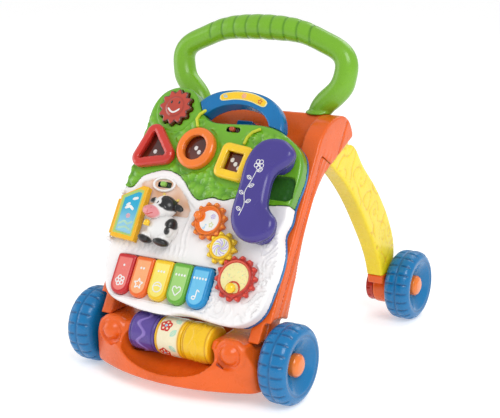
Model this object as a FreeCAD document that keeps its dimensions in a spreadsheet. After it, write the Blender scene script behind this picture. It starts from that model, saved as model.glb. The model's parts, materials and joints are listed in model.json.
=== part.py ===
"""Baby push walker with a lift-off activity panel, as a parametric FreeCAD document.

Frame: millimetres, +X to the right of somebody facing the activity panel, -Y to the front, where the
panel faces and the toy rolls, +Z up. The origin is on the floor, under the middle of the walker's box.
The panel leans back, so its pieces are drawn flat, in (x, s, n): x across, s up along the panel's face
and n out of that face. to_panel() then leans them back.
"""

import FreeCAD, Part

import math
import os

import Sketcher
from FreeCAD import Placement, Rotation, Vector

SIZES = [
    # the stance
    ("wheelbase", 376.0),
    ("axle_front_y", -178.5),
    ("tyre_radius", 54.0),
    ("tyre_width", 42.0),
    ("track_half", 158.5),
    ("axle_radius", 4.0),
    ("axle_slip", 0.06),
    # the leaning frame
    ("panel_tilt", 32.0),
    ("panel_forward", 113.0),
    ("frame_half", 140.5),
    ("post_inner", 113.0),
    ("plate_n", -60.0),
    ("wall", 3.0),
    ("shoulder_y", 180.0),
    ("shoulder_z", 314.0),
    ("shoulder_radius", 38.0),
    # the legs
    ("leg_inner", 109.0),
    ("leg_outer", 136.0),
    ("foot_radius", 28.0),
    ("foot_height", 48.0),
    ("ankle_height", 77.0),
    ("speed_knob_radius", 26.5),
    ("speed_knob_width", 12.0),
    # the handle
    ("handle_half", 137.0),
    ("handle_radius", 16.0),
    ("grip_radius", 18.0),
    ("handle_top", 466.5),
    ("foot_x", 100.0),
    # the base
    ("base_half", 135.0),
    ("well_half", 130.0),
    ("well_gap", 2.5),
    ("base_bottom", 18.0),
    ("base_top", 84.0),
    ("base_front", 73.0),
    ("base_corner", 34.0),
    ("base_back", 44.0),
    ("roller_radius", 26.5),
    ("roller_length", 43.0),
    ("roller_forward", 27.0),
    ("roller_height", 70.6),
    ("bay_half", 68.0),
    # the activity panel
    ("face_depth", 19.0),
    ("back_depth", 25.0),
    ("skin", 2.5),
    ("slack", 0.5),
    # piano keys
    ("key_pitch", 31.6),
    ("key_length", 57.0),
    ("key_left", -104.5),
    ("key_top", 198.5),
    ("key_proud", 9.0),
    ("key_pivot", 3.0),
    # gears
    ("gear_module", 4.2),
    ("tooth_swing", 2.8),
    ("tooth_slack", 0.45),
    ("gear_thickness", 8.0),
    ("spindle_radius", 5.0),
    # buttons
    ("bezel_proud", 13.0),
    ("bezel_band", 9.0),
    ("lens_sink", 2.0),
    ("sun_radius", 25.2),
    ("sun_point", 2.6),
    # the hand set
    ("phone_x", 104.0),
    ("phone_s", 309.0),
    ("phone_length", 142.0),
    ("phone_low_n", 15.0),
    ("phone_high_n", 36.0),
    # the barn door
    ("door_left", -131.0),
    ("door_width", 47.0),
    ("door_low", 219.0),
    ("door_high", 296.0),
    ("door_thick", 11.0),
    ("pin_radius", 1.6),
    # fastenings
    ("screw_head", 3.4),
]

doc = FreeCAD.newDocument("BabyWalker")
sheet = doc.addObject("Spreadsheet::Sheet", "Sizes")
for row, (alias, number) in enumerate(SIZES, start=1):
    sheet.set(f"A{row}", alias)
    sheet.set(f"B{row}", str(number))
    sheet.setAlias(f"B{row}", alias)
doc.recompute()

NODES = []


def size(alias):
    """One driving size, as a number."""
    return float(sheet.get(alias))


TILT = math.radians(size("panel_tilt"))
AXLE_Y = size("axle_front_y")
REAR_Y = AXLE_Y + size("wheelbase")
AXLE_Z = size("tyre_radius")
PANEL_Y = AXLE_Y - size("panel_forward")


# ---------------------------------------------------------------- helpers


def lean(x=0.0, s=0.0, n=0.0):
    """The placement of a piece drawn flat on the panel, moved to (x, s, n) and leaned back."""
    leaned = Rotation(Vector(1, 0, 0), 90 - size("panel_tilt"))
    corner = Placement(Vector(0, PANEL_Y, 0), leaned)
    return corner.multiply(Placement(Vector(x, s, n), Rotation()))


def side_point(s, n):
    """(y, z) of a point of the panel's own side view."""
    return (PANEL_Y + s * math.sin(TILT) - n * math.cos(TILT), s * math.cos(TILT) + n * math.sin(TILT))


def bind(feature, sizes):
    """Ties a feature's properties to expressions over the sheet."""
    for prop, expression in sizes.items():
        feature.setExpression(prop, expression)


def primitive(kind, name, sizes, where=None):
    """A Part primitive whose sizes are expressions over the sheet."""
    made = doc.addObject(kind, name)
    bind(made, sizes)
    if where is not None:
        made.Placement = where
    return made


def at(x, y, z, axis=None, angle=0.0):
    """A placement at a point, turned about an axis."""
    turn = Rotation(Vector(*axis), angle) if axis else Rotation()
    return Placement(Vector(x, y, z), turn)


def along_x(x, y, z):
    """A placement that lays a cylinder along +X, starting at the point."""
    return at(x, y, z, (0, 1, 0), 90)


def solid(name, shape):
    """A plain feature for a shape that primitives and sketches don't give."""
    made = doc.addObject("Part::Feature", name)
    made.Shape = shape
    return made


def group(name, shapes):
    """Separate solids that share one node."""
    made = doc.addObject("Part::Compound", name)
    made.Links = shapes
    return made


def node(feature, label, where=None):
    """Marks a feature as a sub-part, under the name of its file."""
    feature.Label = label
    if where is not None:
        feature.Placement = where.multiply(feature.Placement)
    NODES.append(feature)
    return feature


def mirrored(name, source):
    """The same piece on the other side of the walker."""
    made = doc.addObject("Part::Mirroring", name)
    made.Source = source
    made.Normal = Vector(1, 0, 0)
    return made


def loop(points):
    """A closed outline of straight runs through (x, y) points."""
    corners = [Vector(x, y, 0) for x, y in points]
    return Part.Wire([Part.LineSegment(a, b).toShape() for a, b in zip(corners, corners[1:] + corners[:1])])


def smooth_edge(points, z=0.0):
    """One smooth curve through (x, y) points."""
    curve = Part.BSplineCurve()
    curve.interpolate([Vector(x, y, z) for x, y in points])
    return curve.toShape()


def smooth_loop(points):
    """One smooth closed curve through (x, y) points."""
    curve = Part.BSplineCurve()
    curve.interpolate([Vector(x, y, 0) for x, y in points], PeriodicFlag=True)
    return Part.Wire(curve.toShape())


def slab(wire, low, high):
    """A flat outline in XY, filled between two heights."""
    wire = wire.copy()
    wire.translate(Vector(0, 0, low))
    return Part.Face(wire).extrude(Vector(0, 0, high - low))


def rounded_box(width, length, radius, low, high, x=0.0, y=0.0):
    """A block with upright corners rounded, centred on (x, y)."""
    a, b, r = width / 2, length / 2, radius
    arcs, lines = [], []
    for cx, cy, start in ((a - r, b - r, 0), (r - a, b - r, 90), (r - a, r - b, 180), (a - r, r - b, 270)):
        angles = [math.radians(start + d) for d in (0, 45, 90)]
        points = [Vector(x + cx + r * math.cos(t), y + cy + r * math.sin(t), 0) for t in angles]
        arcs.append(Part.Arc(*points).toShape())
    for one, two in zip(arcs, arcs[1:] + arcs[:1]):
        lines.append(Part.LineSegment(one.Vertexes[-1].Point, two.Vertexes[0].Point).toShape())
    return slab(Part.Wire(Part.__sortEdges__(arcs + lines)), low, high)


def softened(shape, radius, wanted):
    """Rounds the edges that wanted(edge) picks, as far as the kernel allows."""
    edges = [e for e in shape.Edges if wanted(e)]
    for share in (1.0, 0.6, 0.3):
        try:
            made = shape.makeFillet(radius * share, edges)
            if made.isValid() and made.Volume > 0:
                return made
        except Part.OCCError:
            continue
    return shape


def level_edge(z, tolerance=0.01):
    """Picks the edges that lie wholly at one height."""
    return lambda e: abs(e.BoundBox.ZMin - z) < tolerance and abs(e.BoundBox.ZMax - z) < tolerance


def body_with_sketch(name, plane):
    """A PartDesign body with one empty sketch on an origin plane."""
    body = doc.addObject("PartDesign::Body", name)
    sketch = body.newObject("Sketcher::SketchObject", name + "Sketch")
    flat = next(f for f in body.Origin.OriginFeatures if f.Role == plane)
    sketch.AttachmentSupport = (flat, [""])
    sketch.MapMode = "FlatFace"
    return body, sketch


def polyline(sketch, points):
    """Draws a closed straight outline in a sketch, with its corners tied."""
    corners = [Vector(x, y, 0) for x, y in points]
    lines = [Part.LineSegment(a, b) for a, b in zip(corners, corners[1:] + corners[:1])]
    sketch.addGeometry(lines, False)
    for i in range(len(lines)):
        sketch.addConstraint(Sketcher.Constraint("Coincident", i, 2, (i + 1) % len(lines), 1))


def turned(name, profile):
    """A PartDesign revolution about +X of (x, radius) points."""
    body, sketch = body_with_sketch(name, "XY_Plane")
    polyline(sketch, profile)
    spin = body.newObject("PartDesign::Revolution", name + "Spin")
    spin.Profile = sketch
    spin.ReferenceAxis = (sketch, ["H_Axis"])
    spin.Angle = 360.0
    body.Tip = spin
    return body


# ---------------------------------------------------------------- wheels


def arc_points(cx, cy, radius, start, end, steps):
    """Points on an arc, for a turned profile."""
    turns = [math.radians(start + (end - start) * i / steps) for i in range(steps + 1)]
    return [(cx + radius * math.cos(t), cy + radius * math.sin(t)) for t in turns]


def tyre_profile():
    """Half section of a moulded wheel as (x, radius), inner face at x = 0, dished on its outer face."""
    width, outer = size("tyre_width"), size("tyre_radius")
    bore = size("axle_radius") + size("axle_slip")
    crown, groove, dish, hub = 13.0, 1.2, 35.0, 16.2
    floor = width - 15.0
    points = [(0.0, bore), (0.0, outer - crown)]
    points += arc_points(crown, outer - crown, crown, 180, 90, 6)[1:]
    points += [(width / 2 - 1.5, outer), (width / 2, outer - groove), (width / 2 + 1.5, outer)]
    points += arc_points(width - crown, outer - crown, crown, 90, 0, 6)
    points += [(width - 1.5, dish + 2.0), (floor + 3.0, hub + 5.0), (floor, hub), (floor, bore)]
    return points


def wheel(label, side, y, cap_radius):
    """A blue wheel and the orange cap pressed into its dish."""
    tyre = turned("Tyre_" + label, tyre_profile())
    inner = size("track_half") - size("tyre_width") / 2
    turn = Rotation() if side > 0 else Rotation(Vector(0, 0, 1), 180)
    node(tyre, "tyre_" + label, Placement(Vector(side * inner, y, AXLE_Z), turn))
    start = size("tyre_width") - 15.0
    hollow = size("axle_radius") + 1.0
    cap_profile = [(start + 0.05, hollow), (start + 0.05, 15.8), (start + 8.0, cap_radius)]
    cap_profile += [(start + 11.0, cap_radius - 2.5), (start + 13.0, cap_radius - 7.0)]
    cap_profile += [(start + 13.5, 0.0), (start + 10.0, 0.0), (start + 10.0, hollow)]
    cap = turned("Cap_" + label, cap_profile)
    node(cap, "hub_cap_" + label, Placement(Vector(side * inner, y, AXLE_Z), turn))


for name, side in (("left", -1), ("right", 1)):
    wheel("front_" + name, side, AXLE_Y, 15.8)
    wheel("rear_" + name, side, REAR_Y, 15.8)

AXLE_END = size("track_half") - size("tyre_width") / 2 + size("tyre_width") - 15.0 + 6.0
front_axle = primitive("Part::Cylinder", "FrontAxle", {"Radius": "Sizes.axle_radius"})
front_axle.Height = 2 * AXLE_END
node(front_axle, "front_axle", along_x(-AXLE_END, AXLE_Y, AXLE_Z))

REAR_AXLE_START = size("leg_inner") + 2.0
stubs = []
for name, side in (("Left", -1), ("Right", 1)):
    stub = primitive("Part::Cylinder", "Stub" + name, {"Radius": "Sizes.axle_radius"})
    stub.Height = AXLE_END - REAR_AXLE_START
    stub.Placement = along_x(REAR_AXLE_START if side > 0 else -AXLE_END, REAR_Y, AXLE_Z)
    stubs.append(stub)
node(group("RearAxles", stubs), "rear_axles")


# ---------------------------------------------------------------- legs


PIVOT_RADIUS = 6.0
NOTCHES = 12


def upright(x_low, x_high, wire):
    """A side-view outline, drawn with y as x and z as y, filled between two x values."""
    made = Part.Face(wire).extrude(Vector(0, 0, x_high - x_low))
    made.Placement = Placement(Vector(x_low, 0, 0), Rotation(Vector(1, 1, 1), 120))
    return made


def leg_outline(grow=0.0):
    """Side view of a rear leg as (y, z): a lobe in the shoulder, a bowed shank and a widened ankle."""
    y0 = AXLE_Y
    lobe_y, lobe_z, lobe = size("shoulder_y"), size("shoulder_z"), size("shoulder_radius") - 4.0 + grow
    front = [(166, 282), (194, 260), (225, 231), (253, 199), (280, 163), (305, 127), (323, 91), (331, 62)]
    rear = [(370, 90), (372, 113), (357, 154), (328, 197), (291, 238), (254, 275), (226, 303)]
    front = [(y0 + y - 0.75 * grow, z - 0.65 * grow) for y, z in front]
    rear = [(y0 + y + 0.75 * grow, z + 0.65 * grow) for y, z in rear]
    start, middle, end = math.radians(-18), math.radians(115), math.radians(232)
    ring = [
        Vector(y0 + lobe_y + lobe * math.cos(t), lobe_z + lobe * math.sin(t), 0)
        for t in (start, middle, end)
    ]
    edges = [Part.Arc(*ring).toShape()]
    edges.append(smooth_edge([(ring[2].x, ring[2].y)] + front))
    edges.append(Part.LineSegment(Vector(*front[-1], 0), Vector(*rear[0], 0)).toShape())
    edges.append(smooth_edge(rear + [(ring[0].x, ring[0].y)]))
    return Part.Wire(Part.__sortEdges__(edges))


def rear_disc(x_low, x_high, radius, height):
    """A round solid across the leg, at the rear axle's y and a height of its own."""
    return Part.makeCylinder(radius, x_high - x_low, Vector(x_low, REAR_Y, height), Vector(1, 0, 0))


def below(height):
    """All the space under one height."""
    return Part.makeBox(600, 900, 400, Vector(-300, -450, height - 400))


def shank():
    """The leg and its ankle in one, before they are parted."""
    low, high = size("leg_inner"), size("leg_outer")
    whole = upright(low, high, leg_outline())
    return softened(whole, 6.0, lambda e: e.BoundBox.XLength < 0.01 and e.Length > 60)


def leg_shape():
    """The yellow leg, down to the ankle."""
    return shank().cut(below(size("ankle_height")))


def foot_shape():
    """The orange wheel housing at the leg's end, bored for the axle stub, with a pivot for the selector."""
    low, high, height = size("leg_inner"), size("leg_outer"), size("foot_height")
    radius, wall = size("foot_radius"), size("wall")
    drum = softened(rear_disc(low, high, radius, height), 2.0, lambda e: e.BoundBox.XLength < 0.01)
    hollow = rear_disc(low + wall, high - wall, radius - wall, height)
    ankle = shank().common(below(size("ankle_height"))).cut(below(height))
    sleeve = rear_disc(low + wall - 1, high - wall + 1, size("axle_radius") + 5.0, AXLE_Z)
    pivot = rear_disc(low - size("speed_knob_width") + 4, low + 1, PIVOT_RADIUS, height)
    foot = drum.cut(hollow).fuse([ankle.cut(hollow), sleeve, pivot])
    return foot.cut(rear_disc(low + 2, high + 1, size("axle_radius"), AXLE_Z))


def speed_knob_shape():
    """The two-speed selector inside the foot, with grip notches round its rim."""
    high = size("leg_inner") - 0.5
    low = high - size("speed_knob_width")
    radius, height = size("speed_knob_radius"), size("foot_height")
    knob = rear_disc(low, high, radius, height)
    knob = softened(knob, 3.0, lambda e: e.BoundBox.XLength < 0.01 and e.BoundBox.XMin < low + 0.1)
    for i in range(NOTCHES):
        turn = 2 * math.pi * i / NOTCHES
        away = radius + 1.2
        spot = Vector(low - 1, REAR_Y + away * math.cos(turn), height + away * math.sin(turn))
        knob = knob.cut(Part.makeCylinder(3.0, high - low - 3.0, spot, Vector(1, 0, 0)))
    return knob.cut(rear_disc(high - 8.5, high + 1, PIVOT_RADIUS + size("axle_slip"), height))


for name, shape in (("leg", leg_shape()), ("foot", foot_shape()), ("speed_knob", speed_knob_shape())):
    right = node(solid(name.title().replace("_", "") + "Right", shape), name + "_right")
    node(mirrored(name.title().replace("_", "") + "Left", right), name + "_left")


# ---------------------------------------------------------------- frame


def frame_outline(shrink=0.0):
    """Side view of a frame post with its rounded shoulder, as a wire in (y, z)."""
    g = shrink
    top = [(392, -25.6 - g), (428 - 0.5 * g, -34.5 - g), (451 - 0.8 * g, -58 - 0.6 * g)]
    back = [(459.6 - g, -82), (444 - 0.7 * g, -113 + 0.7 * g)]
    rear = [(369 - 0.3 * g, -62), (340, -53), (298, -50), (235, -56), (175, -65), (96, -77)]
    rear = [(s, n + g) for s, n in rear]
    start = side_point(96, -25.6 - g)

    def vector(point):
        y, z = side_point(*point)
        return Vector(y, z, 0)

    edges = [Part.LineSegment(Vector(*start, 0), vector(top[0])).toShape()]
    edges.append(Part.Arc(vector(top[0]), vector(top[1]), vector(top[2])).toShape())
    edges.append(Part.Arc(vector(top[2]), vector(back[0]), vector(back[1])).toShape())
    edges.append(Part.LineSegment(vector(back[1]), vector(rear[0])).toShape())
    edges.append(smooth_edge([side_point(*p) for p in rear]))
    edges.append(Part.LineSegment(vector(rear[-1]), Vector(*start, 0)).toShape())
    return Part.Wire(Part.__sortEdges__(edges))


def leaned_box(x_low, x_high, s_low, s_high, n_low, n_high):
    """A block squared to the panel."""
    box = Part.makeBox(x_high - x_low, s_high - s_low, n_high - n_low, Vector(x_low, s_low, n_low))
    box.Placement = lean().multiply(box.Placement)
    return box


def wheel_wells(grow):
    """The round space about each front wheel that the frame steps in to clear."""
    inner = size("well_half") - grow
    radius = size("tyre_radius") + size("well_gap") + grow
    right = Part.makeCylinder(radius, 60, Vector(inner, AXLE_Y, AXLE_Z), Vector(1, 0, 0))
    left = Part.makeCylinder(radius, 60, Vector(-inner - 60, AXLE_Y, AXLE_Z), Vector(1, 0, 0))
    return right.fuse(left)


def frame_shell():
    """Both moulded halves of the leaning frame in one: two posts, a cross beam and a back plate."""
    half, inner, wall = size("frame_half"), size("post_inner"), size("wall")
    shell = upright(-half, half, frame_outline())
    shell = softened(shell, 7.0, lambda e: e.BoundBox.XLength < 0.01 and e.Length > 20)
    plate_n = size("plate_n")
    shell = shell.cut(leaned_box(-inner, inner, 60, 480, plate_n, 20))
    shell = shell.cut(leaned_box(-inner, inner, 60, 398, -160, plate_n - wall))
    for x_low, x_high in ((inner + wall, half - wall), (wall - half, -inner - wall)):
        shell = shell.cut(upright(x_low, x_high, frame_outline(wall)).cut(wheel_wells(wall)))
    shell = shell.cut(wheel_wells(0))
    beam = upright(-inner + 8, inner - 8, frame_outline(wall))
    beam = beam.common(leaned_box(-inner, inner, 401, 480, -160, plate_n - wall))
    shell = shell.cut(beam)
    window = rounded_box(176, 200, 26, -140, -40, 0, 262)
    window.Placement = lean()
    shell = shell.cut(window)
    shell = shell.cut(leaned_box(-inner, inner, 60, 158, -160, 20))
    for side in (1, -1):
        low, high = size("leg_inner") - 0.5, size("leg_outer") + 0.5
        span = (low, high) if side > 0 else (-high, -low)
        shell = shell.cut(upright(span[0], span[1], leg_outline(0.5)))
    return shell.cut(below(size("base_top") + 0.05))


def latch_slot():
    """The way through the back plate for the panel's catch."""
    return leaned_box(-15.5, 16.5, 412, 432, -75, -50)


def handle_socket(side, grow=0.0):
    """The hole in the cross beam that takes the handle's foot."""
    spot = Vector(side * size("foot_x"), AXLE_Y + 192, 320)
    return Part.makeCylinder(13.0 + grow, 60, spot, Vector(0, 0.04, 1))


whole_frame = frame_shell().cut(latch_slot())
for side in (1, -1):
    whole_frame = whole_frame.cut(handle_socket(side, 0.05))
rear_zone = leaned_box(-200, 200, 0, 386, -200, -41).fuse(leaned_box(-200, 200, 386, 500, -200, -84))
frame_front = node(solid("FrameFront", whole_frame.cut(rear_zone)), "frame_front")
frame_rear = node(solid("FrameRear", whole_frame.common(rear_zone)), "frame_rear")


# ---------------------------------------------------------------- handle


def handle_stations():
    """The handle's centre line from foot to crown as (x, y, z, radius)."""
    half, crown, r = size("handle_half"), size("handle_top"), size("handle_radius")
    foot = size("foot_x")
    return [
        (foot, 192.5, 351.0, r),
        (foot + 5, 194.0, 362.0, r + 0.2),
        (half - 14, 197.0, 379.0, r + 1.0),
        (half - 3, 200.5, 396.0, r + 1.0),
        (half, 203.0, 413.0, r + 0.5),
        (half - 5, 205.5, 431.0, r - 0.2),
        (half - 21, 207.5, 442.5, r - 0.6),
        (half - 49, 208.5, crown - 12.5, r - 0.5),
        (half - 77, 209.0, crown - 4.0, r + 0.3),
        (half - 105, 209.5, crown - 1.0, size("grip_radius") - 0.4),
        (0.0, 209.5, crown, size("grip_radius")),
    ]


def handle_shape():
    """A bowed tube, swelling into a grip, with a flanged foot at each end."""
    half = handle_stations()
    stations = half + [(-x, y, z, r) for x, y, z, r in reversed(half[:-1])]
    points = [Vector(x, AXLE_Y + y, z) for x, y, z, r in stations]
    curve = Part.BSplineCurve()
    curve.interpolate(points)
    rings = []
    for point, station in zip(points, stations):
        along = curve.tangent(curve.parameter(point))[0]
        rings.append(Part.Wire(Part.Circle(point, along, station[3]).toShape()))
    tube = Part.makeLoft(rings, True, False)
    for side in (1, -1):
        spot = Vector(side * size("foot_x"), AXLE_Y + 192.2, 0)
        peg = handle_socket(side)
        peg = peg.common(Part.makeBox(80, 80, 24, Vector(spot.x - 40, spot.y - 40, 329)))
        flange = Part.makeCylinder(size("handle_radius") + 3.5, 3.2, spot + Vector(0, 0, 351.6))
        tube = tube.fuse(peg).fuse(flange)
    return tube


handle_clear = handle_shape().cut(whole_frame)
for low, high in ((size("leg_inner") - 0.5, 150), (-150, 0.5 - size("leg_inner"))):
    handle_clear = handle_clear.cut(upright(low, high, leg_outline(0.5)))
node(solid("Handle", handle_clear), "handle")


# ---------------------------------------------------------------- base


def base_plan(inset=0.0):
    """Plan of the base: straight back and sides, rounded corners and a bowed front."""
    half, front, back = size("base_half") - inset, size("base_front") - inset, size("base_back") - inset
    corner = size("base_corner")
    points = {
        "back_left": (-half, back), "back_right": (half, back),
        "side_left": (-half, 10 - corner), "side_right": (half, 10 - corner),
        "bow_left": (-half + 14, -corner - 11 + inset), "bow_right": (half - 14, -corner - 11 + inset),
        "bend_left": (-half + 4, -corner - 3 + inset), "bend_right": (half - 4, -corner - 3 + inset),
        "front": (0, -front),
    }
    spots = {name: Vector(x, AXLE_Y + y, 0) for name, (x, y) in points.items()}
    edges = [Part.LineSegment(spots["side_left"], spots["back_left"]).toShape()]
    edges.append(Part.LineSegment(spots["back_left"], spots["back_right"]).toShape())
    edges.append(Part.LineSegment(spots["back_right"], spots["side_right"]).toShape())
    edges.append(Part.Arc(spots["side_right"], spots["bend_right"], spots["bow_right"]).toShape())
    edges.append(Part.Arc(spots["bow_right"], spots["front"], spots["bow_left"]).toShape())
    edges.append(Part.Arc(spots["bow_left"], spots["bend_left"], spots["side_left"]).toShape())
    return Part.Wire(Part.__sortEdges__(edges))


def base_side(drop=0.0):
    """Side view of the base: low in front, rising to the posts."""
    top = size("base_top") - drop
    y = AXLE_Y
    bottom = size("base_bottom") - 1 - drop
    points = [(y - 90, bottom), (y + 60, bottom), (y + 60, top), (y - 42, top)]
    points += [(y - 49, top - 12), (y - 56, top - 26), (y - 66, top - 36), (y - 90, top - 42)]
    return points


def base_front(inset=0.0):
    """Front view of the base: upright sides that lean in over the axle."""
    half, top = size("base_half") - inset, size("base_top") + 6 - inset
    right = [(half, 0), (half, 42), (half - 4, 56), (half - 10, 67), (half - 15, 77), (half - 17, top)]
    wire = loop(right + [(-x, z) for x, z in reversed(right)])
    made = Part.Face(wire).extrude(Vector(0, 0, 300))
    made.Placement = Placement(Vector(0, AXLE_Y + 150, 0), Rotation(Vector(1, 0, 0), 90))
    return made


def stretched_ball(rx, ry, rz, x, y, z):
    """A ball stretched along the three axes."""
    stretch = FreeCAD.Matrix()
    stretch.scale(rx, ry, rz)
    ball = Part.makeSphere(1.0).transformGeometry(stretch)
    ball.translate(Vector(x, y, z))
    return ball


def crossways(radius, half, y, z):
    """A cylinder along X, centred on the walker."""
    return Part.makeCylinder(radius, 2 * half, Vector(-half, y, z), Vector(1, 0, 0))


def roller_bay():
    """The space the rollers turn in: round about them, open above, and a slit under their rear half."""
    y, bay = ROLLER_Y, size("bay_half")
    drum = crossways(size("roller_radius") + 2.2, bay, y, size("roller_height"))
    above = Part.makeBox(2 * bay, 62, 60, Vector(-bay, y - 28, size("roller_height")))
    slit = Part.makeBox(2 * bay, 31, 60, Vector(-bay, y + 3, 10))
    return drum.fuse([above, slit])


def base_shape():
    """The bumper: a skin with a roller bay, a scoop in front of it and lamp-like bosses beside it."""
    half, wall, bay = size("base_half"), size("wall"), size("bay_half")
    bottom, y, z = size("base_bottom"), AXLE_Y, AXLE_Z
    outer = slab(base_plan(), bottom, 120).common(upright(-half - 5, half + 5, loop(base_side())))
    outer = outer.common(base_front())
    outer = softened(outer, 7.0,
                     lambda e: e.BoundBox.ZMin > 30 and e.BoundBox.XLength < 0.01 and e.Length > 8)
    outer = softened(outer, 5.0, lambda e: level_edge(bottom)(e) and e.BoundBox.YMin < y - 10)
    inner = slab(base_plan(wall), bottom - 1, 120).common(upright(-half, half, loop(base_side(wall))))
    inner = inner.common(base_front(wall))
    bay_walls = Part.makeBox(2 * (bay + wall), 66 + wall, 90, Vector(-bay - wall, y - 58, bottom))
    scoop = stretched_ball(76, 38, 33, 0, y - 53, 61)
    scoop_skin = stretched_ball(76 + wall, 38 + wall, 33 + wall, 0, y - 53, 61)
    shape = outer.cut(inner).fuse([outer.common(bay_walls), outer.common(scoop_skin)])
    shape = shape.cut(scoop).cut(roller_bay())
    drum = crossways(size("roller_radius") + 2.2, half, ROLLER_Y, size("roller_height"))
    rib = Part.makeBox(RIB, 58, 34, Vector(-RIB / 2, y - 50, bottom)).cut(drum)
    tongue = Part.makeBox(RIB, 6, 92, Vector(-RIB / 2, y + 8, bottom))
    shape = shape.fuse([rib.cut(scoop), tongue])
    for side in (1, -1):
        start = bay if side > 0 else -half
        sleeve = Part.makeCylinder(10.0, half - bay, Vector(start, y, z), Vector(1, 0, 0))
        ring = stretched_ball(25, 14, 24, side * 97, y - 42, 68)
        dish = stretched_ball(20, 10, 20, side * 97, y - 54, 71)
        eye = Part.makeSphere(14.5, Vector(side * 97, y - 44, 71))
        shape = shape.fuse([sleeve, ring]).cut(dish).fuse(eye)
    shape = shape.common(base_front())
    shape = shape.cut(crossways(size("axle_radius"), half + 5, y, z))
    shape = shape.cut(crossways(SHAFT_RADIUS, SHAFT_HALF, ROLLER_Y, size("roller_height")))
    return shape.cut(below(bottom))


RIB = 40.0
SHAFT_RADIUS = 3.0
SHAFT_HALF = size("bay_half") + 5.5
ROLLER_Y = AXLE_Y - size("roller_forward")
base = node(solid("Base", base_shape()), "base")


def roller(label, index):
    """One third of the drum, free on the shaft."""
    length, radius = size("roller_length"), size("roller_radius")
    bore = SHAFT_RADIUS + size("axle_slip")
    profile = [(0, bore), (0, radius - 2), (2, radius), (length - 2, radius), (length, radius - 2)]
    profile += [(length, bore)]
    drum = turned("Roller" + label.title(), profile)
    start = (index - 1.5) * (length + 0.6) + 0.3
    node(drum, "roller_" + label, at(start, ROLLER_Y, size("roller_height")))


for index, label in enumerate(("left", "middle", "right")):
    roller(label, index)
shaft = primitive("Part::Cylinder", "RollerShaft", {})
shaft.Radius, shaft.Height = SHAFT_RADIUS, 2 * SHAFT_HALF
node(shaft, "roller_shaft", along_x(-SHAFT_HALF, ROLLER_Y, size("roller_height")))


# ---------------------------------------------------------------- activity panel outlines

SEAM = [
    (-142, 300), (-116, 304), (-110, 314), (-96, 321), (-77, 327), (-61, 326), (-45, 320), (-31, 308),
    (-19, 297), (-8, 291), (16, 297), (31, 295), (51, 301), (70, 299), (90, 296), (108, 297), (150, 300),
]


def panel_outline(inset=0.0):
    """The whole face from below the keys to the tree top, as one smooth closed line in (x, s)."""
    points = [
        (0, 128), (70, 129), (112, 134), (131, 152), (138, 185), (141, 218), (136, 248), (132, 264),
        (136, 280), (135, 298), (137, 322), (138, 346), (129, 375), (108, 392), (80, 405), (40, 408),
        (0, 406), (-26, 408), (-45, 421), (-60, 444), (-88, 455), (-118, 444), (-131, 418), (-131, 392),
        (-134, 352), (-136, 305), (-138, 280), (-135, 252), (-134, 215), (-128, 175), (-112, 143), (-70, 130),
    ]
    if not inset:
        return smooth_loop(points)
    middle = (0.0, 280.0)
    moved = []
    for i, (x, s) in enumerate(points):
        before, after = points[i - 1], points[(i + 1) % len(points)]
        run = math.hypot(after[0] - before[0], after[1] - before[1])
        out_x, out_s = (after[1] - before[1]) / run, (before[0] - after[0]) / run
        if out_x * (x - middle[0]) + out_s * (s - middle[1]) < 0 and not -50 < x < -20:
            out_x, out_s = -out_x, -out_s
        moved.append((x - inset * out_x, s - inset * out_s))
    return smooth_loop(moved)


def zone(upper, shift=0.0):
    """Everything on one side of the seam between the green and the white moulding."""
    far = 520 if upper else 60
    points = [(x, s + shift) for x, s in SEAM]
    edges = [smooth_edge(points)]
    ends = [Vector(points[-1][0], points[-1][1], 0), Vector(200, points[-1][1], 0), Vector(200, far, 0)]
    ends += [Vector(-200, far, 0), Vector(-200, points[0][1], 0), Vector(points[0][0], points[0][1], 0)]
    edges += [Part.LineSegment(a, b).toShape() for a, b in zip(ends, ends[1:])]
    return slab(Part.Wire(Part.__sortEdges__(edges)), -60, 60)


def face_block():
    """The outer block of the panel's face, rounded towards the front and cut away under the roller."""
    block = slab(panel_outline(), -size("face_depth"), 0)
    block = softened(block, 5.0, level_edge(0.0))
    return block.cut(under_cut())


def under_cut():
    """The slope under the panel that clears the roller."""
    wedge = loop([(60, -60), (146, -60), (127, -4), (120, 10), (60, 10)])
    made = Part.Face(wedge).extrude(Vector(0, 0, 400))
    made.Placement = Placement(Vector(-200, 0, 0), Rotation(Vector(1, 1, 1), 120))
    return made


def face_hollow():
    """The hollow behind the face."""
    return slab(panel_outline(size("skin") + 0.6), -size("face_depth") - 1, -size("skin")).cut(
        Part.makeBox(400, 26, 60, Vector(-200, 120, -50))
    )


KEY_BAY = (size("key_left") - size("slack"), size("key_left") + 5 * size("key_pitch") + size("slack"))
GEARS = {"orange": (24.0, 262.0, 12), "yellow": (55.2, 227.9, 10), "red": (89.1, 190.7, 14)}
GEAR_KNOBS = {"orange": (10.0, 266.0, 6.0), "red": (91.0, 175.5, 7.0)}
BEZELS = {"triangle": (-100.0, 355.0), "circle": (-30.0, 362.0), "square": (37.0, 348.0)}
SUN = (-87.0, 421.0)


def star_wire(radius, point, count=12, grow=0.0):
    """A closed wavy ring with rounded points."""
    steps = count * 4
    points = []
    for i in range(steps):
        turn = 2 * math.pi * i / steps
        r = radius + grow + point * math.cos(count * turn)
        points.append((r * math.cos(turn), r * math.sin(turn)))
    return smooth_loop(points)


def moved(shape, x, s, n=0.0, turn=0.0):
    """A copy of a flat piece, turned and moved on the panel."""
    shape = shape.copy()
    shape.Placement = Placement(Vector(x, s, n), Rotation(Vector(0, 0, 1), turn)).multiply(shape.Placement)
    return shape


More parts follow.
